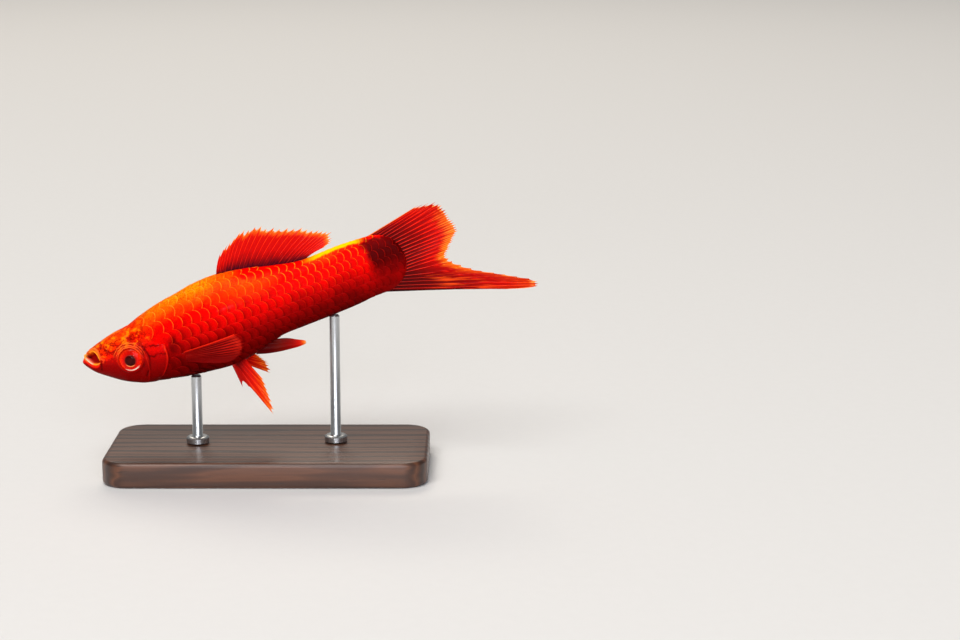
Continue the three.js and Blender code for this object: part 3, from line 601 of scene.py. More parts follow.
# Painted shade in the creases, lighter high on the head.
crease_shade_colour = add(tree, "ValToRGB", [fish["height"]], stops=[
    (0.3, "#4A0101"), (0.6, "#6A0102"), (0.85, "#A40C02"),
])
jaw_colour = add(tree, "ValToRGB", [marked["jaw"]], stops=[
    (0.0, "#B00A06"), (0.25, "#E81008"), (0.55, "#F8240A"), (0.75, "#FF5A18"), (0.95, "#FF9A3C"),
])
broken = {"Vector": fish["place"], "Scale": 1.1 / MM, "Detail": 3.0, "Roughness": 0.55}
broken = add(tree, "TexNoise", broken)
broken = add(tree, "MapRange", [broken, 0.4, 0.58, 0.4, 1.0], **STEP)
# The creases' painted shade is broken here and there.
painted_crease_shade = add(tree, "Math", [marked["crease"], broken], "MULTIPLY")
on_jaw = add(tree, "MapRange", [marked["jaw"], 0.02, 0.3], **STEP)
at_tip = add(tree, "MapRange", [fish["length"], 0.008, 0.024, 1, 0], **STEP)
on_lip = add(tree, "MapRange", [marked["jaw"], 0.35, 0.75], **STEP)
lip_tip = add(tree, "Math", [at_tip, on_lip], "MULTIPLY")
coloured = fish["colour"]
# Of these layers, the ridge line, lit and pale are painted highlights, and creases and hollows are painted
# shade.
for amount, colour in (
    (fish["painted_ridge_highlight"], "#FFC400"), (painted_crease_shade, crease_shade_colour), (marked["fold"], fold_colour),
    (on_jaw, jaw_colour), (lip_tip, "#FFC850"), (marked["hollow"], "#8A0604"), (marked["lit"], "#FF9420"),
    (marked["pale"], "#FFC0A8"), (marked["socket"], "#C01006"),
):
    coloured = add(tree, "Mix", {0: amount, 6: coloured, 7: colour}, **COLOURS)
tree.links.new(coloured, shader.inputs["Base Color"])
rough = add(tree, "TexNoise", {"Vector": fish["place"], "Scale": 3.0 / MM, "Detail": 4.0, "Roughness": 0.6})
rough = add(tree, "Math", [add(tree, "Math", [rough, fish["wavy"]], "SUBTRACT"), 0.6], "MULTIPLY")
relief_node = add(tree, "Bump", {"Height": rough, "Strength": 0.45, "Distance": 0.12 * MM})
tree.links.new(relief_node, shader.inputs["Normal"])
skin.data.materials.append(material)
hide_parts("head", "trunk", "tail_base")
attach(skin, "root")

# The scales
# Rounded scales overlap from the gill cover to the tail, about 27 along the side, each tucked under the
# one in front and the row below. They are thin plates that follow the skin, and the rows run with the body.
# Thickness, and rise of a scale's free edge and of its upper side, in mm; then its reach from its middle, as
# shares of the spacing.
SCALE = {"thick": 0.05, "high": 0.11, "roll": 0.025, "ahead": 1.15, "behind": 0.72, "side": 0.62}
pitch_along = through([(0, 3.0), (13, 2.7), (18, 2.05), (30, 1.72), (45, 1.5), (FLESH_LENGTH, 1.32)])
pitch_across = through([(0, 2.9), (13, 2.8), (19, 2.5), (26, 2.35), (40, 2.1), (FLESH_LENGTH, 1.75)])
ROWS_UP, ROWS_DOWN = 6, 6
ROWS_RAISED = 0.3  # mm, of the middle row over the body's widest level
SCALES_FROM = 4.0  # mm behind the snout, where the rows are counted from
SIZE_VARIES = 0.04  # up or down, as a share of a scale's size
RISE_VARIES = 0.006  # mm, up or down

# A table of angles round each flank by the distance from the body's widest level.
PAST_POLE = 0.9  # radians that the table runs on over the ridges of back and belly
ANGLE_STEPS = 720
table_u = np.linspace(0.3, FLESH_LENGTH - 0.02, 420)
table_angle = np.linspace(-math.pi / 2 - PAST_POLE, math.pi / 2 + PAST_POLE, ANGLE_STEPS + 1)
grid_u, grid_angle = np.meshgrid(table_u, table_angle, indexing="ij")
around_body = section(grid_u, grid_angle)
steps = np.linalg.norm(np.diff(around_body, axis=1), axis=-1)
arc = np.concatenate([np.zeros((len(table_u), 1)), np.cumsum(steps, 1)], 1)
middle = len(table_angle) // 2
arc -= arc[:, middle : middle + 1]
table_arc = np.linspace(-16, 16, 641)
angle_by_arc = np.stack([np.interp(table_arc, arc[i], table_angle) for i in range(len(table_u))])
ridge_column = round((math.pi + PAST_POLE) / (math.pi + 2 * PAST_POLE) * ANGLE_STEPS)
top_reach = through(list(zip(table_u[::20], arc[::20, ridge_column])))
low_reach = through(list(zip(table_u[::20], -arc[::20, ANGLE_STEPS - ridge_column])))


def flank_angle(u, out):
    """The angle round the right flank at a distance up from the widest level."""
    i = np.clip((u - table_u[0]) / (table_u[1] - table_u[0]), 0, len(table_u) - 1.001)
    j = np.clip((out - table_arc[0]) / (table_arc[1] - table_arc[0]), 0, len(table_arc) - 1.001)
    a, b = i.astype(int), j.astype(int)
    s, t = i - a, j - b
    low = angle_by_arc[a, b] * (1 - t) + angle_by_arc[a, b + 1] * t
    high = angle_by_arc[a + 1, b] * (1 - t) + angle_by_arc[a + 1, b + 1] * t
    return low * (1 - s) + high * s


# One scale, flat: a grid from its root to its rounded free edge, then a coarse underside.
LENGTHWISE, CROSSWISE = 5, 8
share_long = np.array([0, 0.3, 0.58, 0.8, 0.93, 1.0])
share_wide = np.sin(np.linspace(-1, 1, CROSSWISE + 1) * math.pi / 2)
flat_long, flat_wide = np.meshgrid(share_long, share_wide, indexing="ij")
top_count = (LENGTHWISE + 1) * (CROSSWISE + 1)
width = CROSSWISE + 1
scale_faces = [list(f) for f in grid_faces(LENGTHWISE + 1, width, False)]
root_below, rim_below = top_count, top_count + width
for k in range(CROSSWISE):
    scale_faces.append([root_below + k, rim_below + k, rim_below + k + 1, root_below + k + 1])
    scale_faces.append([k + 1, k, root_below + k, root_below + k + 1])
    rim = LENGTHWISE * width
    scale_faces.append([rim + k, rim + k + 1, rim_below + k + 1, rim_below + k])
left_side = [i * width for i in range(LENGTHWISE + 1)]
scale_faces.append(left_side + [rim_below, root_below])
right_side = [i * width + CROSSWISE for i in range(LENGTHWISE, -1, -1)]
scale_faces.append(right_side + [root_below + CROSSWISE, rim_below + CROSSWISE])


def with_underside(grid):
    """A value for each point of a scale: its upper face, then the root and the rim of its underside."""
    return np.concatenate([grid.ravel(), grid[0], grid[-1]])


# Where the scales sit: rows side by side, each half a scale on from the next, up to the gill and the ridges.
random.seed(27)
stations = np.linspace(SCALES_FROM, FLESH_LENGTH, 600)
count_along = np.cumsum(1 / pitch_along(stations)) * (FLESH_LENGTH - SCALES_FROM) / (len(stations) - 1)
scale_places = []
for row in range(-ROWS_DOWN, ROWS_UP + 1):
    for k in range(int(count_along[-1]) + 1):
        u = float(np.interp(k + 0.5 * (row % 2), count_along, stations))
        out = row * float(pitch_across(u)) + ROWS_RAISED
        if u < 8 or u > FLESH_LENGTH - 0.5:
            continue
        off_ridge = 0.3 * pitch_across(u)
        if out > top_reach(u) - off_ridge or -out > low_reach(u) - off_ridge:
            continue
        angle = float(flank_angle(np.array([u]), np.array([out]))[0])
        v = section(np.array([u]), np.array([angle]))[0, 2]
        height = (v - belly(u)) / (back(u) - belly(u))
        front = gill_edge(v) - 0.6 - 4.6 * float(smooth((height - 0.52) / 0.3))
        if u < front:
            continue
        scale_places.append((u, out))

for side, name in ((1, "scales_right"), (-1, "scales_left")):
    all_points, all_faces, all_places = [], [], []
    all_rims, all_tones, patches = [], [], []
    for number, (u, out) in enumerate(scale_places):
        long_pitch, wide_pitch = float(pitch_along(u)), float(pitch_across(u))
        size = random.uniform(1 - SIZE_VARIES, 1 + SIZE_VARIES)
        half = SCALE["side"] * wide_pitch * size
        rear = SCALE["behind"] * long_pitch * size * np.sqrt(1 - 0.985 * flat_wide ** 2)
        ahead = -SCALE["ahead"] * long_pitch
        x = ahead + (rear - ahead) * flat_long
        y = half * flat_wide * (0.9 + 0.1 * flat_long)
        tilt = (x - ahead) / (SCALE["behind"] * long_pitch - ahead)
        rise = SCALE["high"] * tilt + SCALE["roll"] * y / half
        rise += random.uniform(-RISE_VARIES, RISE_VARIES)
        rise -= 0.012 * flat_wide ** 2 + 0.012 * (flat_long == 1)
        rises = with_underside(rise)
        rises[top_count:] -= SCALE["thick"]
        xs = with_underside(x)
        xs[-width:] -= 0.02  # the rim is cut a little under
        us = np.clip(u + xs, 0.5, FLESH_LENGTH - 0.05)
        angle = flank_angle(us, out + with_underside(y))
        if side < 0:
            angle = math.pi - angle
        all_points.append(lifted(us, angle, rises - COAT))
        shift = number * (top_count + 2 * width)
        ordered = scale_faces if side > 0 else [f[::-1] for f in scale_faces]
        all_faces += [[shift + i for i in f] for f in ordered]
        all_places.append(body_place(us, section(us, angle)[:, 2]))
        all_rims.append(with_underside(rear - x))
        all_tones.append(np.full(len(us), random.random()))
        # Each scale has its own small patch of the OFBake map.
        patch_u = u / FLESH_LENGTH + 0.008 * with_underside(flat_long)
        patch_v = 0.5 + 0.46 * out / 13 + 0.012 * with_underside(flat_wide)
        patches.append(np.stack([patch_u, patch_v], -1))
    coat = make_mesh(name, in_place(np.vstack(all_points)), all_faces)
    give_values(coat, "body_place", np.vstack(all_places))
    give_values(coat, "to_edge", np.concatenate(all_rims))
    give_values(coat, "tone", np.concatenate(all_tones))
    uv = coat.data.uv_layers.new(name="OFBake")
    corner_vertices = np.zeros(len(coat.data.loops), int)
    coat.data.loops.foreach_get("vertex_index", corner_vertices)
    uv.data.foreach_set("uv", np.clip(np.vstack(patches)[corner_vertices], 0.001, 0.999).ravel())
    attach(coat, "root")

# Scale: a thin clear bony plate over the coloured skin, so its free edge shows as a pale orange line.
material, tree, shader = new_material(
    "overlapping fish scale", Roughness=0.45, IOR=1.45, Specular_IOR_Level=0.012, Coat_Weight=0.015,
    Coat_Roughness=0.1, Coat_IOR=1.34,
)
fish = fish_markings(tree)
to_edge = add(tree, "Attribute", output="Fac", attribute_name="to_edge")
# Each scale is painted darker over its tucked-in root, as painted shadow of the scale in front, and is a
# little lighter or darker than the next.
root = add(tree, "MapRange", [to_edge, 0.7, 1.7], **STEP)
behind_gill = add(tree, "MapRange", [fish["length"], 0.24, 0.29], **STEP)
less_on_back = add(tree, "MapRange", [fish["height"], 0.55, 0.8, 0.85, 0.15], **STEP)
root = add(tree, "Math", [add(tree, "Math", [root, behind_gill], "MULTIPLY"), less_on_back], "MULTIPLY")
tone = add(tree, "Attribute", output="Fac", attribute_name="tone")
tone = add(tree, "Math", [tone, 0.26, 0.8], "MULTIPLY_ADD")
tone = add(tree, "CombineColor", [tone, tone, tone])
coloured = fish["colour"]
# First the root's painted shadow, then each scale's own tone.
for amount, shade in ((root, "#C47070"), (1.0, tone)):
    coloured = add(tree, "Mix", {0: amount, 6: coloured, 7: shade}, blend_type="MULTIPLY", **COLOURS)
# The line along the free edge is broken here and there, and brightest high on the flank.
edge_line = add(tree, "MapRange", [to_edge, 0.07, 0.2, 1, 0], **STEP)
broken = {"Vector": fish["place"], "Scale": 0.9 / MM, "Detail": 4.0, "Roughness": 0.65}
broken = add(tree, "TexNoise", broken)
broken = add(tree, "MapRange", [broken, 0.36, 0.6, 0.3, 1.0], **STEP)
by_height = add(tree, "MapRange", [fish["height"], 0.2, 0.75, 0.4, 0.95], **STEP)
by_patch = add(tree, "Math", [fish["patch"], -0.15, 1.0], "MULTIPLY_ADD")
for strength in (broken, by_height, by_patch):
    edge_line = add(tree, "Math", [edge_line, strength], "MULTIPLY")
edge_colour = add(tree, "ValToRGB", [fish["height"]], stops=[
    (0.1, "#7A0602"), (0.3, "#B80C06"), (0.48, "#EC2408"), (0.62, "#FC440E"), (0.8, "#FF7A14"),
    (1.0, "#FFAC20"),
])
edge_colour = add(tree, "Mix", {0: fish["patch"], 6: edge_colour, 7: "#AC1008"}, **COLOURS)
# The ridge line is a painted highlight.
for amount, colour in ((edge_line, edge_colour), (fish["painted_ridge_highlight"], "#FFC400")):
    coloured = add(tree, "Mix", {0: amount, 6: coloured, 7: colour}, **COLOURS)
tree.links.new(coloured, shader.inputs["Base Color"])
ripple = add(tree, "TexNoise", {"Vector": fish["place"], "Scale": 4.0 / MM, "Detail": 3.0, "Roughness": 0.6})
ripple = add(tree, "Bump", {"Height": ripple, "Strength": 0.35, "Distance": 0.05 * MM})
tree.links.new(ripple, shader.inputs["Normal"])
for name in ("scales_left", "scales_right"):
    bpy.data.objects[name].data.materials.append(material)

# The eyes
# Each eye is a shallow clear-fronted ball in its socket: a black pupil that bulges a little, a red iris with
# a thin bright ring below the pupil, and a pale silvery crescent low on the iris, partly its own silver and
# partly a painted reflection.
PUPIL_SHARE = PUPIL["radius"] / EYE["radius"]
PUPIL_BULGE, PUPIL_RIM_DIP = 0.1, 0.05  # mm
front_turn = np.linspace(0.02, math.pi / 2, 42)
back_turn = np.linspace(math.pi / 2, math.pi * 0.93, 12)[1:]
eye_turn = np.concatenate([front_turn, back_turn])
eye_spin = np.linspace(0, 2 * math.pi, 72, endpoint=False)
for side, name in ((-1, "eye_left"), (1, "eye_right")):
    theta, phi = np.meshgrid(eye_turn, eye_spin, indexing="ij")
    r = np.sin(theta)
    x, z = r * np.cos(phi), r * np.sin(phi)
    from_pupil = np.hypot(x - PUPIL["back"] / EYE["radius"], z + PUPIL["down"] / EYE["radius"])
    out = EYE["depth"] * np.cos(theta)
    facing = theta < math.pi / 2
    out += facing * PUPIL_BULGE * np.sqrt(np.clip(1 - (from_pupil / PUPIL_SHARE) ** 2, 0, 1))
    out -= facing * PUPIL_RIM_DIP * bump(from_pupil - PUPIL_SHARE - 0.03, 0.03)
    front = np.array([-math.sin(EYE["turn"]), side * math.cos(EYE["turn"]), 0])
    rearward = np.array([math.cos(EYE["turn"]), side * math.sin(EYE["turn"]), 0])
    points = np.array([EYE["u"], side * EYE["y"] + sideways(EYE["u"]), EYE["v"]])
    points = points + EYE["radius"] * x[..., None] * rearward + out[..., None] * front
    points[..., 2] += EYE["radius"] * z
    points, faces = closed_tube(points)
    if side < 0:
        faces = [f[::-1] for f in faces]
    eye = make_mesh("ball_of_" + name, in_place(points), faces)
    iris_place = np.stack([x, z, from_pupil], -1).reshape(-1, 3)
    give_values(eye, "iris_place", np.vstack([iris_place, [[0, 0, 0.05], [0, 0, 2]]]))
    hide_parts(name)
    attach(eye, "root")

# Eye: a clear wet cornea over a pigmented iris, so the colour lies under a sharp glossy coat.
material, tree, shader = new_material(
    "wet clear cornea over red iris", Roughness=0.4, IOR=1.376, Specular_IOR_Level=0.01, Coat_Weight=0.3,
    Coat_Roughness=0.02, Coat_IOR=1.34,
)
on_eye = add(tree, "Attribute", output="Vector", attribute_name="iris_place")
rearward, upward, from_pupil = add(tree, "SeparateXYZ", [on_eye]).node.outputs
eye_colour = add(tree, "ValToRGB", [from_pupil], stops=[
    (0.0, "#420404"), (PUPIL_SHARE - 0.12, "#320202"), (PUPIL_SHARE - 0.02, "#400302"),
    (PUPIL_SHARE + 0.05, "#A01206"), (PUPIL_SHARE + 0.11, "#C40A02"), (0.68, "#E81002"), (0.82, "#FC2E06"),
    (0.98, "#D81806"),
])
# Fine spokes run out from the pupil, about a quarter of a millimetre apart.
round_pupil = add(tree, "Math", [upward, rearward], "ARCTAN2")
outward = add(tree, "Math", [from_pupil, 0.25], "MULTIPLY")
spokes = add(tree, "CombineXYZ", [round_pupil, outward])
spokes = add(tree, "TexNoise", {"Vector": spokes, "Scale": 9.0, "Detail": 4.0})
on_iris = add(tree, "MapRange", [from_pupil, PUPIL_SHARE + 0.02, PUPIL_SHARE + 0.08], **STEP)
spokes = add(tree, "Math", [on_iris, add(tree, "MapRange", [spokes, 0.45, 0.7, 0, 0.5], **STEP)], "MULTIPLY")
# The brow shades the top of the iris.
brow = add(tree, "Math", [on_iris, add(tree, "MapRange", [upward, 0.15, 0.8, 0, 0.5], **STEP)], "MULTIPLY")
# A short bright ring under the pupil, a little towards the front.
low_front = add(tree, "Math", [add(tree, "Math", [rearward, -0.28], "MULTIPLY"), upward], "SUBTRACT")
low_front = add(tree, "MapRange", [low_front, 0.33, 0.48, 0, 0.8], **STEP)
ring = band(tree, from_pupil, (PUPIL_SHARE, PUPIL_SHARE + 0.04), (PUPIL_SHARE + 0.06, PUPIL_SHARE + 0.12))
ring = add(tree, "Math", [ring, low_front], "MULTIPLY")
# The silvery crescent, partly the iris's own silver and partly a painted reflection, lies near the iris's
# outer edge.
from_middle = add(tree, "Math", [upward, upward], "MULTIPLY")
from_middle = add(tree, "Math", [rearward, rearward, from_middle], "MULTIPLY_ADD")
from_middle = add(tree, "Math", [from_middle], "SQRT")
silver_crescent_and_reflection = band(tree, from_middle, (0.77, 0.82), (0.87, 0.91))
low_down = add(tree, "MapRange", [add(tree, "Math", [0.0, upward], "SUBTRACT"), 0.56, 0.8], **STEP)
silver_crescent_and_reflection = add(tree, "Math", [silver_crescent_and_reflection, low_down], "MULTIPLY")
for amount, colour in ((spokes, "#8A0604"), (brow, "#6A0303"), (ring, "#FF9050"), (silver_crescent_and_reflection, "#FFE6D0")):
    eye_colour = add(tree, "Mix", {0: amount, 6: eye_colour, 7: colour}, **COLOURS)
tree.links.new(eye_colour, shader.inputs["Base Color"])
for name in ("ball_of_eye_left", "ball_of_eye_right"):
    bpy.data.objects[name].data.materials.append(material)

# The fins
# Each fin is a thin web held open by bony rays that fork towards the edge, where their tips stand free of
# the web. A fin is one closed blade: its thickness swells over each ray and thins to the edge.


def curve_through(points):
    """A centripetal curve through points in space, as a function of the share along it."""
    p = np.array(points, float)
    p = np.vstack([2 * p[0] - p[1], p, 2 * p[-1] - p[-2]])
    last = len(p) - 3

    def at(share):
        place = np.clip(share, 0, 1) * last
        k = np.minimum(place.astype(int), last - 1)
        w = (place - k)[:, None]
        a, b, c, d = p[k], p[k + 1], p[k + 2], p[k + 3]
        ab, bc, cd = (np.sqrt(np.linalg.norm(q, axis=1, keepdims=True)) for q in (b - a, c - b, d - c))
        start = ((b - a) / ab - (c - a) / (ab + bc) + (c - b) / bc) * bc
        finish = ((c - b) / bc - (d - b) / (bc + cd) + (d - c) / cd) * bc
        squared = 3 * (c - b) - 2 * start - finish
        cubed = 2 * (b - c) + start + finish
        return b + start * w + squared * w ** 2 + cubed * w ** 3

    return at


def at(u, v, y=0.0):
    """A point given by how far back from the snout it lies, how far up, and how far to the right."""
    return (u, y, v)


def fin_blade(
    name, root_at, tip_at, rays, *, rows=44, per_ray=14, scallop=0.6, bow=(0, 0, 0), web=0.05,
    ray=(0.15, 0.06), forks=(0.5, 0.78), sway=0.1, waves=2.0, ragged=0.25, tips_per_gap=2, notches=(),
    seed=1,
):
    """A fin from its root curve to its tip curve. rays lists the places of the rays along the root, and they
    fork at the shares in forks. Half the web's thickness is web, and half a ray's is ray, at root and tip.
    The web ends short of the ray tips by scallop, the tips stand unevenly by up to ragged, and the blade
    waves by sway, all in mm. notches are gaps between rays that are cut deeper, each with its share."""
    chance = random.Random(seed)
    columns = (len(rays) - 1) * per_ray + 1
    s = np.interp(np.arange(columns) / per_ray, np.arange(len(rays)), rays)
    t = np.linspace(0, 1, rows + 1) ** 0.9
    roots, tips = root_at(s), tip_at(s)
    ray_length = np.linalg.norm(tips - roots, axis=1)
    spacing_at_tip = np.linalg.norm(np.gradient(tips, s, axis=0), axis=1)
    spacing_at_root = np.linalg.norm(np.gradient(roots, s, axis=0), axis=1)

    def ray_mask(s, t, spacing):
        """1 on the crest of a ray or of one of its branches, and 0 on the web."""
        mask = np.zeros(np.broadcast(s, t).shape)
        for k, centre in enumerate(rays):
            near = min(abs(centre - other) for other in rays if other != centre)
            first = 0.25 * near * smooth((t - forks[0]) / (1.15 - forks[0]))
            second = 0.125 * near * smooth((t - forks[1]) / (1.15 - forks[1]))
            wide = 0.105 - 0.055 * t
            for a in ((-1, 1) if 0 < k < len(rays) - 1 else (0,)):
                for b in (-1, 1):
                    offset = (s - centre - a * first - b * second * abs(a)) * spacing
                    mask = np.maximum(mask, np.exp(-((offset / wide) ** 2)))
        return mask

    # The free edge, as a share of the full length of each ray.
    tip_place = np.arange(columns) / per_ray * tips_per_gap
    webbed = np.abs(np.sin(math.pi * tip_place)) ** 0.7
    ends = np.arange((len(rays) - 1) * tips_per_gap + 1)
    jitter = np.interp(tip_place, ends, [chance.uniform(0, ragged) for _ in ends])
    length = 1 - (scallop * webbed + jitter) / ray_length
    length += 1 - length.max()
    for gap, depth in notches:
        x = (s - rays[gap]) / (rays[gap + 1] - rays[gap])
        length -= depth * np.clip(4 * x * (1 - x), 0, 1)
    # The middle sheet of the blade, and the thickness to each side of it.
    S, T = np.meshgrid(s, t, indexing="ij")
    spacing = spacing_at_root[:, None] * (1 - T) + spacing_at_tip[:, None] * T
    mask = ray_mask(S, T, spacing)
    reach = T * length[:, None]
    middle = roots[:, None] + (tips - roots)[:, None] * reach[..., None]
    middle += np.array(bow) * (4 * reach * (1 - reach))[..., None]
    middle[..., 1] += sideways(middle[..., 0])
    out = np.cross(np.gradient(middle, axis=0), np.gradient(middle, axis=1))
    out /= np.linalg.norm(out, axis=-1, keepdims=True) + 1e-12
    middle += out * (sway * np.sin(2 * math.pi * (waves * S + 0.35 * T)) * T)[..., None]
    thin = 1 - 0.75 * smooth((T - 0.8) / 0.2)
    half = web * thin + (ray[0] * (1 - T) + ray[1] * T - web) * mask
    half = np.maximum(half * (1 - 0.6 * (T > 0.995)), 0.012)
    points = np.stack([middle + out * half[..., None], middle - out * half[..., None]])
    # Two sheets of faces, and a strip round the rim that closes them.
    sheet = grid_faces(columns, rows + 1, False)
    count = columns * (rows + 1)
    faces = sheet.tolist() + (sheet[:, ::-1] + count).tolist()
    rim = [c * (rows + 1) for c in range(columns)]
    rim += [(columns - 1) * (rows + 1) + r for r in range(1, rows + 1)]
    rim += [c * (rows + 1) + rows for c in range(columns - 2, -1, -1)]
    rim += [r for r in range(rows - 1, 0, -1)]
    faces += [[b, a, a + count, b + count] for a, b in zip(rim, rim[1:] + rim[:1])]
    blade = make_mesh(name, in_place(points), faces)
    place = np.stack([T, S, mask], -1).reshape(-1, 3)
    give_values(blade, "fin_place", np.vstack([place, place]))
    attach(blade, "root")
    return blade


def fin_finish(name, web_stops, ray_stops, margin=((0, 1), (1, 1)), margin_from=0.76, low_edge=None,
               bright_edge=None, crest_shine=0.3, wisp_colour="#FFB070", glow=None):
    """Fin: a thin red web with bony rays, wet and soft. Web and rays are coloured from root to edge, and the
    margin turns orange by the amounts given across it. low_edge and bright_edge colour the fin's last and
    first part, and glow is a place across it from which light orange streaks run, with their colour.
    crest_shine is the strength of a painted highlight along the ray crests."""
    material, tree, shader = new_material(
        name, Roughness=0.5, IOR=1.4, Specular_IOR_Level=0.03, Subsurface_Weight=0.12,
        Subsurface_Radius=(0.9, 0.1, 0.05), Subsurface_Scale=0.3 * MM, Coat_Weight=0.04,
        Coat_Roughness=0.15,
    )
    on_fin = add(tree, "Attribute", output="Vector", attribute_name="fin_place")
    reach, across, on_ray = add(tree, "SeparateXYZ", [on_fin]).node.outputs
    # Streaks along the rays, about 0.4 mm wide on the dorsal fin and many times as long.
    narrow = add(tree, "Math", [across, 26.0], "MULTIPLY")
    drawn_out = add(tree, "Math", [reach, 1.6], "MULTIPLY")
    streak = add(tree, "CombineXYZ", [narrow, drawn_out])
    streak = add(tree, "TexNoise", {"Vector": streak, "Scale": 2.0, "Detail": 4.0})
    moved = add(tree, "Math", [add(tree, "Math", [streak, 0.5], "SUBTRACT"), 0.3, reach], "MULTIPLY_ADD")
    on_rays = add(tree, "MapRange", [on_ray, 0.3, 0.85], **STEP)
    on_rays = add(tree, "Math", [on_rays, add(tree, "MapRange", [streak, 0.2, 0.5], **STEP)], "MULTIPLY")
    web_colour = add(tree, "ValToRGB", [moved], stops=web_stops)
    ray_colour = add(tree, "ValToRGB", [moved], stops=ray_stops)
    coloured = add(tree, "Mix", {0: on_rays, 6: web_colour, 7: ray_colour}, **COLOURS)
    orange = add(tree, "Mix", {0: on_rays, 6: "#F06008", 7: "#FFA030"}, **COLOURS)
    on_margin = add(tree, "MapRange", [moved, margin_from, 1.0], **STEP)
    on_margin = add(tree, "Math", [on_margin, add(tree, "ValToRGB", [across], stops=margin)], "MULTIPLY")
    layers = [(on_margin, orange)]
    if glow:
        glowing = band(tree, reach, (0.25, 0.45), (0.6, 0.85))
        from_place = add(tree, "MapRange", [across, glow[0], glow[0] + 0.03], **STEP)
        in_streaks = add(tree, "MapRange", [streak, 0.5, 0.6, 0, 0.6], **STEP)
        for limit in (from_place, in_streaks):
            glowing = add(tree, "Math", [glowing, limit], "MULTIPLY")
        layers.append((glowing, glow[1]))
    wisp = add(tree, "MapRange", [reach, 0.955, 0.985], **STEP)
    wisp = add(tree, "Math", [wisp, add(tree, "MapRange", [streak, 0.42, 0.58], **STEP)], "MULTIPLY")
    # The ray crests get a painted highlight in streaks.
    shine = add(tree, "MapRange", [streak, 0.42, 0.62, 0, crest_shine], **STEP)
    painted_crest_highlight = add(tree, "Math", [add(tree, "MapRange", [on_ray, 0.85, 1.0], **STEP), shine], "MULTIPLY")
    layers += [(wisp, wisp_colour), (painted_crest_highlight, "#FF6A50")]
    if low_edge:
        layers.append((add(tree, "MapRange", [across, *low_edge[:2]], **STEP), low_edge[2]))
    if bright_edge:
        layers.append((add(tree, "MapRange", [across, *bright_edge[:2], 1, 0], **STEP), bright_edge[2]))
    for amount, colour in layers:
        coloured = add(tree, "Mix", {0: amount, 6: coloured, 7: colour}, **COLOURS)
    tree.links.new(coloured, shader.inputs["Base Color"])
    return material


DORSAL_SUNK = 1.2  # mm, how far its root lies under the back
dorsal_edge = np.array([
    at(32.2, 13.45), at(34.6, 14.9), at(37.4, 16.0), at(40.6, 15.95), at(44.0, 14.75), at(47.7, 13.5),
    at(50.9, 12.2), at(53.1, 11.1), at(53.5, 9.7), at(52.2, 8.45),
])
dorsal_leaves = (30.05, 31.2, 32.8, 35, 37.6, 40.6, 43.2, 45.2, 46.8, 48.1)
leave_back = np.array([at(u, float(back(u))) for u in dorsal_leaves])
lean = dorsal_edge - leave_back
dorsal_roots = curve_through(leave_back - DORSAL_SUNK * lean / np.linalg.norm(lean, axis=1, keepdims=True))
dorsal = fin_blade(
    "dorsal_blade", dorsal_roots, curve_through(dorsal_edge), np.linspace(0, 1, 27), per_ray=12,
    bow=(-0.3, 0, 0.2), scallop=0.8, ragged=0.7, tips_per_gap=1,
    notches=[(0, 0.1), (2, 0.1), (3, 0.06), (6, 0.05)], ray=(0.12, 0.05), forks=(0.72, 1.1), seed=3,
)
# The dark band low on web and rays is painted shade, where the fin rises from the back.
dorsal.data.materials.append(fin_finish(
    "translucent dorsal fin web",
    [(0.13, "#400010"), (0.2, "#60010A"), (0.34, "#980202"), (0.5, "#BC0402"), (0.9, "#C80802")],
    [(0.13, "#5C0414"), (0.22, "#98060A"), (0.34, "#DC0C06"), (0.6, "#F82004"), (0.9, "#FF460A")],
    margin=((0, 0.2), (0.1, 0.6), (0.5, 0.9), (0.8, 1)), margin_from=0.84,
))
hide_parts("dorsal_fin")

# The tail fin: a forked fan above and, below, the long sword that only the male carries.
TAIL_FORK = 0.7  # where along the root the fan ends; the sword starts a little further on
SWORD_FROM = 0.735
tail_roots = curve_through([
    at(57.2, 7.3), at(60.0, 6.5), at(62.2, 5.1), at(63.2, 3.2), at(63.4, 1.3), at(63.2, -0.5),
    at(62.0, -2.0), at(58.2, -3.0),
])
fan_tips = curve_through([
    at(71.0, 11.0), at(72.9, 10.8), at(74.9, 10.0), at(75.6, 7.95), at(76.1, 6.15), at(76.8, 4.35),
    at(75.6, 2.95), at(74.4, 1.5), at(73.3, -0.1),
])
sword_tips = curve_through([
    at(74.0, -1.5), at(77.0, -3.9), at(81.1, -6.0), at(85.2, -8.0), at(88.5, -10.0), at(88.3, -10.8),
    at(74.4, -7.4),
])


def tail_tips(s):
    """The tips of fan and sword, as one line that crosses the fork between them."""
    fan = fan_tips(s / TAIL_FORK)
    sword = sword_tips((s - SWORD_FROM) / (1 - SWORD_FROM))
    mix = smooth((s - TAIL_FORK) / (SWORD_FROM - TAIL_FORK))[:, None]
    return fan * (1 - mix) + sword * mix


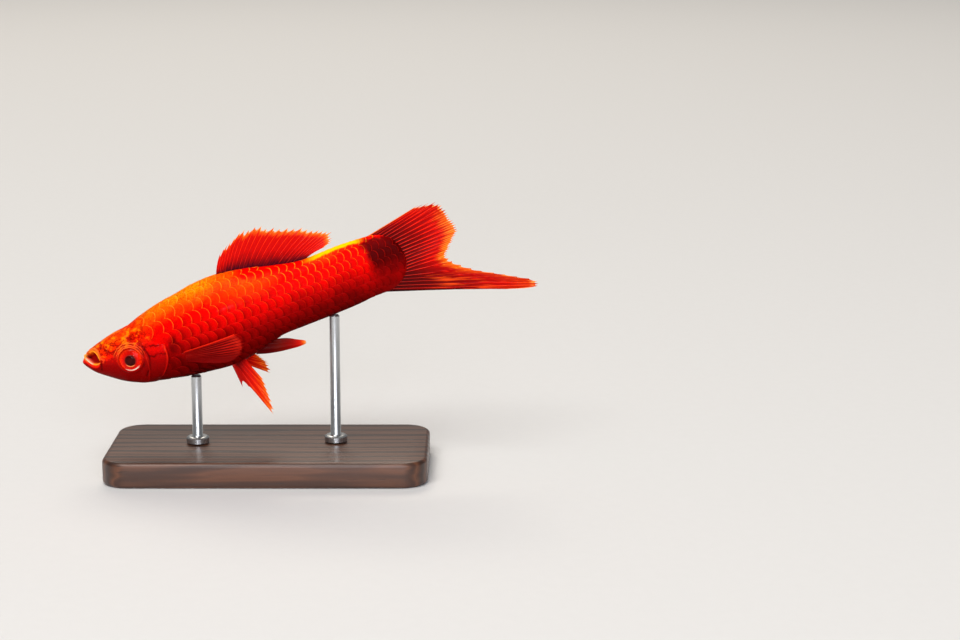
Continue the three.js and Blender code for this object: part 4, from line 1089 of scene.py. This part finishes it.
tail_rays = np.concatenate([np.linspace(0, TAIL_FORK, 17), np.linspace(SWORD_FROM, 1, 7)])
tail = fin_blade(
    "tail_blade", tail_roots, tail_tips, tail_rays, rows=56, per_ray=12, scallop=0.65, ragged=0.4,
    notches=[(0, 0.06), (1, 0.07), (2, 0.05), (3, 0.03)], sway=0.2, waves=1.6, ray=(0.17, 0.06),
    forks=(0.36, 0.66), seed=5,
)
tail.data.materials.append(fin_finish(
    "translucent tail fin web",
    [(0.0, "#3E0102"), (0.25, "#560202"), (0.5, "#7C0202"), (0.75, "#A80402"), (1.0, "#B41002")],
    [(0.0, "#9A0A08"), (0.2, "#D8140A"), (0.5, "#FA1804"), (0.8, "#F81C06"), (1.0, "#E0240A")],
    margin=((0, 0), (0.2, 0), (0.3, 0.5), (0.42, 0.8), (0.6, 1), (0.77, 1), (0.82, 0.2), (1, 0.1)),
    low_edge=(0.972, 0.988, "#1A0204"), bright_edge=(0.004, 0.022, "#FF6A10"), crest_shine=0.5,
    wisp_colour="#FF8C40", glow=(0.79, "#FF5010"),
))
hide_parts("tail_fan", "sword")

# The breast fins, folded back along the flanks, and the two belly fins, whose second ray is drawn out.
breast_finish = fin_finish(
    "translucent breast fin web",
    [(0.0, "#8C0202"), (0.25, "#740101"), (0.6, "#5C0101"), (0.9, "#6C0202"), (1.0, "#840402")],
    [(0.0, "#8C0202"), (0.3, "#7A0202"), (0.5, "#8C0302"), (0.75, "#B80C06"), (1.0, "#CC200E")],
    margin=((0, 0), (1, 0)), bright_edge=(0.02, 0.08, "#E8200C"), low_edge=(0.45, 0.85, "#6C0202"),
    crest_shine=0.1, wisp_colour="#A81006",
)
belly_finish = fin_finish(
    "translucent belly fin web",
    [(0.1, "#5A0303"), (0.25, "#A80504"), (0.5, "#C80E04"), (0.8, "#D02404"), (1.0, "#D84408")],
    [(0.1, "#700404"), (0.25, "#E00C06"), (0.5, "#FF2C06"), (0.8, "#FF6410"), (1.0, "#FF9030")],
    margin=((0, 0.0), (0.2, 0.3), (1, 0.9)), bright_edge=(0.08, 0.26, "#A80A06"),
)
BREAST_AT = 18.6  # mm behind the snout
for side, word in ((-1, "left"), (1, "right")):
    breast_roots = []
    for v in (-2.8, -3.3, -3.8, -4.3):
        outline = section(np.full(400, BREAST_AT), np.linspace(-math.pi / 2, 0, 400))
        y = float(np.interp(v, outline[:, 2], outline[:, 1])) - 0.9
        breast_roots.append(at(18.5 - 0.1 * (v + 3), v, side * y))
    breast_tips = [
        at(31.3, -1.4, side * 7.9), at(32.1, -2.6, side * 8.0), at(32.1, -3.9, side * 7.9),
        at(31.5, -5.2, side * 7.6), at(30.2, -6.3, side * 7.2), at(28.0, -6.7, side * 6.7),
    ]
    blade = fin_blade(
        "breast_blade_" + word, curve_through(breast_roots), curve_through(breast_tips),
        np.linspace(0, 1, 12), bow=(0, side * 0.7, 0), ragged=0.4, ray=(0.13, 0.05), seed=7,
    )
    blade.data.materials.append(breast_finish)
    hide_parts("breast_fin_" + word)
    belly_roots = [at(u, float(belly(u)) + 1.3, side * 1.3) for u in (27.4, 28.3, 29.2, 30.1)]
    if side < 0:
        belly_tips = [
            at(28.4, -13.0, -2.6), at(32.8, -19.6, -4.0), at(33.1, -17.2, -3.8), at(33.0, -15.0, -3.4),
            at(32.9, -12.9, -3.0), at(31.6, -10.6, -2.2),
        ]
    else:
        belly_tips = [
            at(30.0, -11.8, 3.4), at(33.1, -13.5, 6.0), at(33.4, -12.1, 5.6), at(33.4, -11.0, 4.9),
            at(33.1, -10.0, 4.0), at(32.5, -8.9, 2.8),
        ]
    blade = fin_blade(
        "belly_blade_" + word, curve_through(belly_roots), curve_through(belly_tips), np.linspace(0, 1, 6),
        per_ray=20, scallop=0.9, ragged=0.4, notches=[(0, 0.4)], sway=0.12, forks=(0.25, 0.6),
        ray=(0.15, 0.05), seed=11,
    )
    blade.data.materials.append(belly_finish)
    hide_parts("belly_fin_" + word)

# The gonopodium
# The male's anal fin is a bundle of thickened rays grown into one rod, carried back under the belly. It is
# lofted along its bent path, with a groove between each ray and the next.
gono_path = curve_through([
    at(33.0, -6.3), at(34.8, -6.9), at(36.8, -7.35), at(38.8, -7.65), at(40.7, -8.1), at(42.3, -8.35),
])
gono_tall = through([(0, 1.6), (0.35, 1.3), (0.6, 1.1), (0.8, 0.72), (0.95, 0.42), (1, 0.24)])
gono_wide = through([(0, 0.75), (0.5, 0.48), (0.93, 0.26), (1, 0.14)])
GONO_RAYS = 4
GROOVE_DEPTH = 0.09  # as a share of the rod's half thickness
GONO_RINGS, GONO_AROUND = 60, 40
share = np.linspace(0, 1, GONO_RINGS)
spin = np.linspace(0, 2 * math.pi, GONO_AROUND, endpoint=False)
centre = gono_path(share)
run = np.gradient(centre, axis=0)
run /= np.linalg.norm(run, axis=1, keepdims=True)
up = np.stack([-run[:, 2], 0 * run[:, 0], run[:, 0]], -1)
groove = 1 - GROOVE_DEPTH * np.cos(GONO_RAYS * np.arcsin(np.sin(spin)) * 2)[None, :]
points = centre[:, None] + up[:, None] * (gono_tall(share)[:, None] * np.sin(spin) * groove)[..., None]
points[..., 1] += gono_wide(share)[:, None] * np.cos(spin) * groove + sideways(centre[:, :1])
points, faces = closed_tube(points)
gonopodium = make_mesh("gonopodium_rod", in_place(points), faces)
along = np.tile(share[:, None], (1, GONO_AROUND))
tall_share = np.tile((np.sin(spin) + 1) / 2, (GONO_RINGS, 1))
gono_place = np.stack([along, tall_share, 0.5 + 0 * tall_share], -1).reshape(-1, 3)
give_values(gonopodium, "fin_place", np.vstack([gono_place, [[0, 0.5, 0], [1, 0.5, 0]]]))
gonopodium.data.materials.append(fin_finish(
    "fused rays of the gonopodium",
    [(0.0, "#480102"), (0.4, "#560102"), (0.7, "#840202"), (0.86, "#C80C02"), (1.0, "#F06010")],
    [
        (0.0, "#500102"), (0.3, "#5C0202"), (0.42, "#7A1C08"), (0.6, "#900C04"), (0.86, "#D01404"),
        (1.0, "#F06010"),
    ],
    margin_from=0.9,
))
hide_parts("gonopodium")
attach(gonopodium, "root")

# The display stand
# A plain oiled wood base with an eased edge, and two brushed steel rods that stand in turned collars and
# carry the fish from below. The rods are pinned into the body.
BASE_LONG, BASE_WIDE, BASE_HIGH = 62 * MM, 30 * MM, 5 * MM
BASE_CORNER, BASE_EASE = 5 * MM, 0.8 * MM
ROD_RADIUS = 1.0 * MM
COLLAR_RADIUS, COLLAR_HIGH = 2.2 * MM, 1.2 * MM
bpy.ops.object.select_all(action="DESELECT")
base_size = (BASE_LONG, BASE_WIDE, BASE_HIGH)
bpy.ops.mesh.primitive_cube_add(size=1, location=(0, 0, BASE_HIGH / 2), scale=base_size)
base = bpy.context.object
base.name = "wood_base"
bpy.ops.object.transform_apply(location=True, rotation=True, scale=True)
corners = base.data.attributes.new("bevel_weight_edge", "FLOAT", "EDGE")
for edge in base.data.edges:
    ends = [base.data.vertices[i].co for i in edge.vertices]
    corners.data[edge.index].value = 1.0 if abs(ends[0].z - ends[1].z) > BASE_HIGH / 2 else 0.0
rounding = base.modifiers.new("rounded corners", "BEVEL")
rounding.limit_method, rounding.width, rounding.segments = "WEIGHT", BASE_CORNER, 12
bpy.ops.object.modifier_apply(modifier=rounding.name)
easing = base.modifiers.new("eased edges", "BEVEL")
easing.limit_method, easing.angle_limit = "ANGLE", math.radians(40)
easing.width, easing.segments = BASE_EASE, 5
bpy.ops.object.modifier_apply(modifier=easing.name)
bpy.ops.object.shade_smooth_by_angle(angle=math.radians(35))

# Oiled walnut: planed wood with long growth rings and short pores, and a thin satin oil finish.
material, tree, shader = new_material(
    "oiled walnut", Roughness=0.42, IOR=1.5, Coat_Weight=0.25, Coat_Roughness=0.25,
)
place = add(tree, "TexCoord", output="Object")
board = add(tree, "VectorMath", [place, (0.12, 1.0, 1.6)], "MULTIPLY")
warp = add(tree, "TexNoise", {"Vector": board, "Scale": 0.09 / MM, "Detail": 3.0}, output="Color")
bent = add(tree, "VectorMath", [warp, (4 * MM, 6 * MM, 4 * MM)], "MULTIPLY")
bent = add(tree, "VectorMath", [bent, board], "ADD")
# This scale puts the growth rings about 3 mm apart.
growth = {"Vector": bent, "Scale": 0.095 / MM, "Distortion": 2.0, "Detail": 3.0, "Detail Scale": 1.6}
growth = add(tree, "TexWave", growth, output="Fac", bands_direction="Y")
pores = add(tree, "VectorMath", [place, (0.07, 1, 1)], "MULTIPLY")
pores = add(tree, "TexNoise", {"Vector": pores, "Scale": 2.4 / MM, "Detail": 3.0, "Roughness": 0.6})
in_pores = add(tree, "MapRange", [pores, 0.6, 0.72, 0, 0.6], **STEP)
wood = add(tree, "ValToRGB", [growth], stops=[
    (0.0, "#2E170C"), (0.45, "#4A2815"), (0.8, "#5E3620"), (1.0, "#3C2012"),
])
wood = add(tree, "Mix", {0: in_pores, 6: wood, 7: "#1C0E07"}, **COLOURS)
tree.links.new(wood, shader.inputs["Base Color"])
rough = add(tree, "Math", [growth, 0.14, 0.36], "MULTIPLY_ADD")
tree.links.new(rough, shader.inputs["Roughness"])
dents = add(tree, "MapRange", [pores, 0.6, 0.72, 1, 0], **STEP)
dents = add(tree, "Bump", {"Height": dents, "Strength": 0.35, "Distance": 0.06 * MM})
tree.links.new(dents, shader.inputs["Normal"])
base.data.materials.append(material)
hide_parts("stand_base")
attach(base, "root")

# Brushed stainless steel: turned rod, finished along its length, so its shine is drawn out round it.
steel, tree, shader = new_material("brushed stainless steel", Metallic=1.0, Roughness=0.28)
brushed = add(tree, "VectorMath", [add(tree, "TexCoord", output="Object"), (1, 1, 0.03)], "MULTIPLY")
brushed = add(tree, "TexNoise", {"Vector": brushed, "Scale": 6.0 / MM, "Detail": 3.0, "Roughness": 0.6})
steel_colour = add(tree, "ValToRGB", [brushed], stops=[(0.3, "#A9ABAD"), (0.7, "#C9CBCC")])
tree.links.new(steel_colour, shader.inputs["Base Color"])
tree.links.new(add(tree, "Math", [brushed, 0.2, 0.2], "MULTIPLY_ADD"), shader.inputs["Roughness"])
lines = add(tree, "Bump", {"Height": brushed, "Strength": 0.15, "Distance": 0.02 * MM})
tree.links.new(lines, shader.inputs["Normal"])
for word in ("front", "rear"):
    low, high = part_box("stand_rod_" + word)
    x, y = (low[0] + high[0]) / 2, (low[1] + high[1]) / 2
    foot, top = low[2], high[2]
    profile = [
        (0, foot), (COLLAR_RADIUS, foot), (COLLAR_RADIUS, foot + 0.75 * COLLAR_HIGH),
        (0.86 * COLLAR_RADIUS, foot + 0.96 * COLLAR_HIGH), (0.74 * COLLAR_RADIUS, foot + COLLAR_HIGH),
        (1.1 * ROD_RADIUS, foot + COLLAR_HIGH), (ROD_RADIUS, foot + 1.12 * COLLAR_HIGH),
        (ROD_RADIUS, top - 0.3 * ROD_RADIUS), (0.75 * ROD_RADIUS, top), (0, top),
    ]
    rod_mesh = bpy.data.meshes.new("steel_rod_" + word)
    edges = [(i, i + 1) for i in range(len(profile) - 1)]
    rod_mesh.from_pydata([(x + r, y, z) for r, z in profile], edges, [])
    rod = bpy.data.objects.new("steel_rod_" + word, rod_mesh)
    bpy.context.scene.collection.objects.link(rod)
    bpy.ops.object.select_all(action="DESELECT")
    rod.select_set(True)
    bpy.context.view_layer.objects.active = rod
    bpy.ops.object.mode_set(mode="EDIT")
    bpy.ops.mesh.select_all(action="SELECT")
    bpy.ops.mesh.spin(steps=48, angle=2 * math.pi, center=(x, y, 0), axis=(0, 0, 1))
    bpy.ops.mesh.select_all(action="SELECT")
    bpy.ops.mesh.remove_doubles(threshold=0.00001)
    bpy.ops.mesh.normals_make_consistent(inside=False)
    bpy.ops.object.mode_set(mode="OBJECT")
    bpy.ops.object.shade_smooth_by_angle(angle=math.radians(35))
    rod.data.materials.append(steel)
    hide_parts("stand_rod_" + word)
    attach(rod, "root")

# The floor, the lights and the camera
# A plain pale studio floor, one broad lamp high on the near side, a low fill, and a lamp behind that
# lights the back, where a bright line is also painted. The camera has a long lens and looks a little down on
# the left side.
bpy.ops.object.select_all(action="DESELECT")
bpy.ops.mesh.primitive_plane_add(size=6)
floor = bpy.context.object
floor.name = "floor"

# Studio paper: matt and pale, with soft fibres that hardly show.
material, tree, shader = new_material("pale studio paper", Roughness=0.9)
place = add(tree, "TexCoord", output="Object")
fibres = add(tree, "TexNoise", {"Vector": place, "Scale": 0.4 / MM, "Detail": 4.0, "Roughness": 0.55})
fibres = add(tree, "Math", [fibres, 0.5], "MULTIPLY")
paper = add(tree, "Mix", {0: fibres, 6: "#D6D6D6", 7: "#DCDCDC"}, **COLOURS)
tree.links.new(paper, shader.inputs["Base Color"])
floor.data.materials.append(material)

CAMERA_DOWN = math.radians(12)
CAMERA_AWAY = 438 * MM
SENSOR_WIDE = 36  # mm
PIXEL = 0.19335 * MM  # one pixel of the photo at the fish
FRAME_WIDE = 960  # pixels
FRAME_MIDDLE = (480, 320)
SNOUT_PIXEL = (84, 362)  # where the photo shows the snout
camera_up = Vector((0, math.sin(CAMERA_DOWN), math.cos(CAMERA_DOWN)))
camera_forward = Vector((0, math.cos(CAMERA_DOWN), -math.sin(CAMERA_DOWN)))
looked_at = Vector(SNOUT_AT * MM)
looked_at += Vector((1, 0, 0)) * (FRAME_MIDDLE[0] - SNOUT_PIXEL[0]) * PIXEL
looked_at += camera_up * (SNOUT_PIXEL[1] - FRAME_MIDDLE[1]) * PIXEL
camera_data = bpy.data.cameras.new("camera")
camera_data.sensor_width = SENSOR_WIDE
camera_data.lens = SENSOR_WIDE * CAMERA_AWAY / (FRAME_WIDE * PIXEL)
camera_data.clip_start = 0.01
camera = bpy.data.objects.new("camera", camera_data)
camera.location = looked_at - camera_forward * CAMERA_AWAY
camera.rotation_euler = camera_forward.to_track_quat("-Z", "Y").to_euler()
bpy.context.scene.collection.objects.link(camera)
bpy.context.scene.camera = camera


LAMPS_AIM_AT = Vector((0, 0, 30)) * MM  # the middle of the fish


def lamp(name, place, size, power, colour):
    """A square soft lamp that faces the fish. Place and size are in mm, and power is in watts."""
    data = bpy.data.lights.new(name, "AREA")
    data.size = size * MM
    data.energy = power
    data.color = linear(colour)[:3]
    made = bpy.data.objects.new(name, data)
    made.location = Vector(place) * MM
    aim = LAMPS_AIM_AT - made.location
    made.rotation_euler = aim.to_track_quat("-Z", "Y").to_euler()
    bpy.context.scene.collection.objects.link(made)


lamp("key_lamp", (-400, -1000, 1500), 1100, 27, "#FFFBF6")
lamp("fill_lamp", (300, -1700, 500), 1000, 15, "#F2F5FF")
lamp("spark_lamp", (-66, -800, 140), 50, 0.8, "#FFFFFF")
lamp("back_lamp", (-200, 1300, 1500), 900, 17, "#FFF4E4")
world = bpy.data.worlds.new("studio")
world.use_nodes = True
world.node_tree.nodes["Background"].inputs["Color"].default_value = linear("#DCDEE0")
world.node_tree.nodes["Background"].inputs["Strength"].default_value = 0.3
bpy.context.scene.world = world
bpy.context.scene.view_settings.view_transform = "Standard"
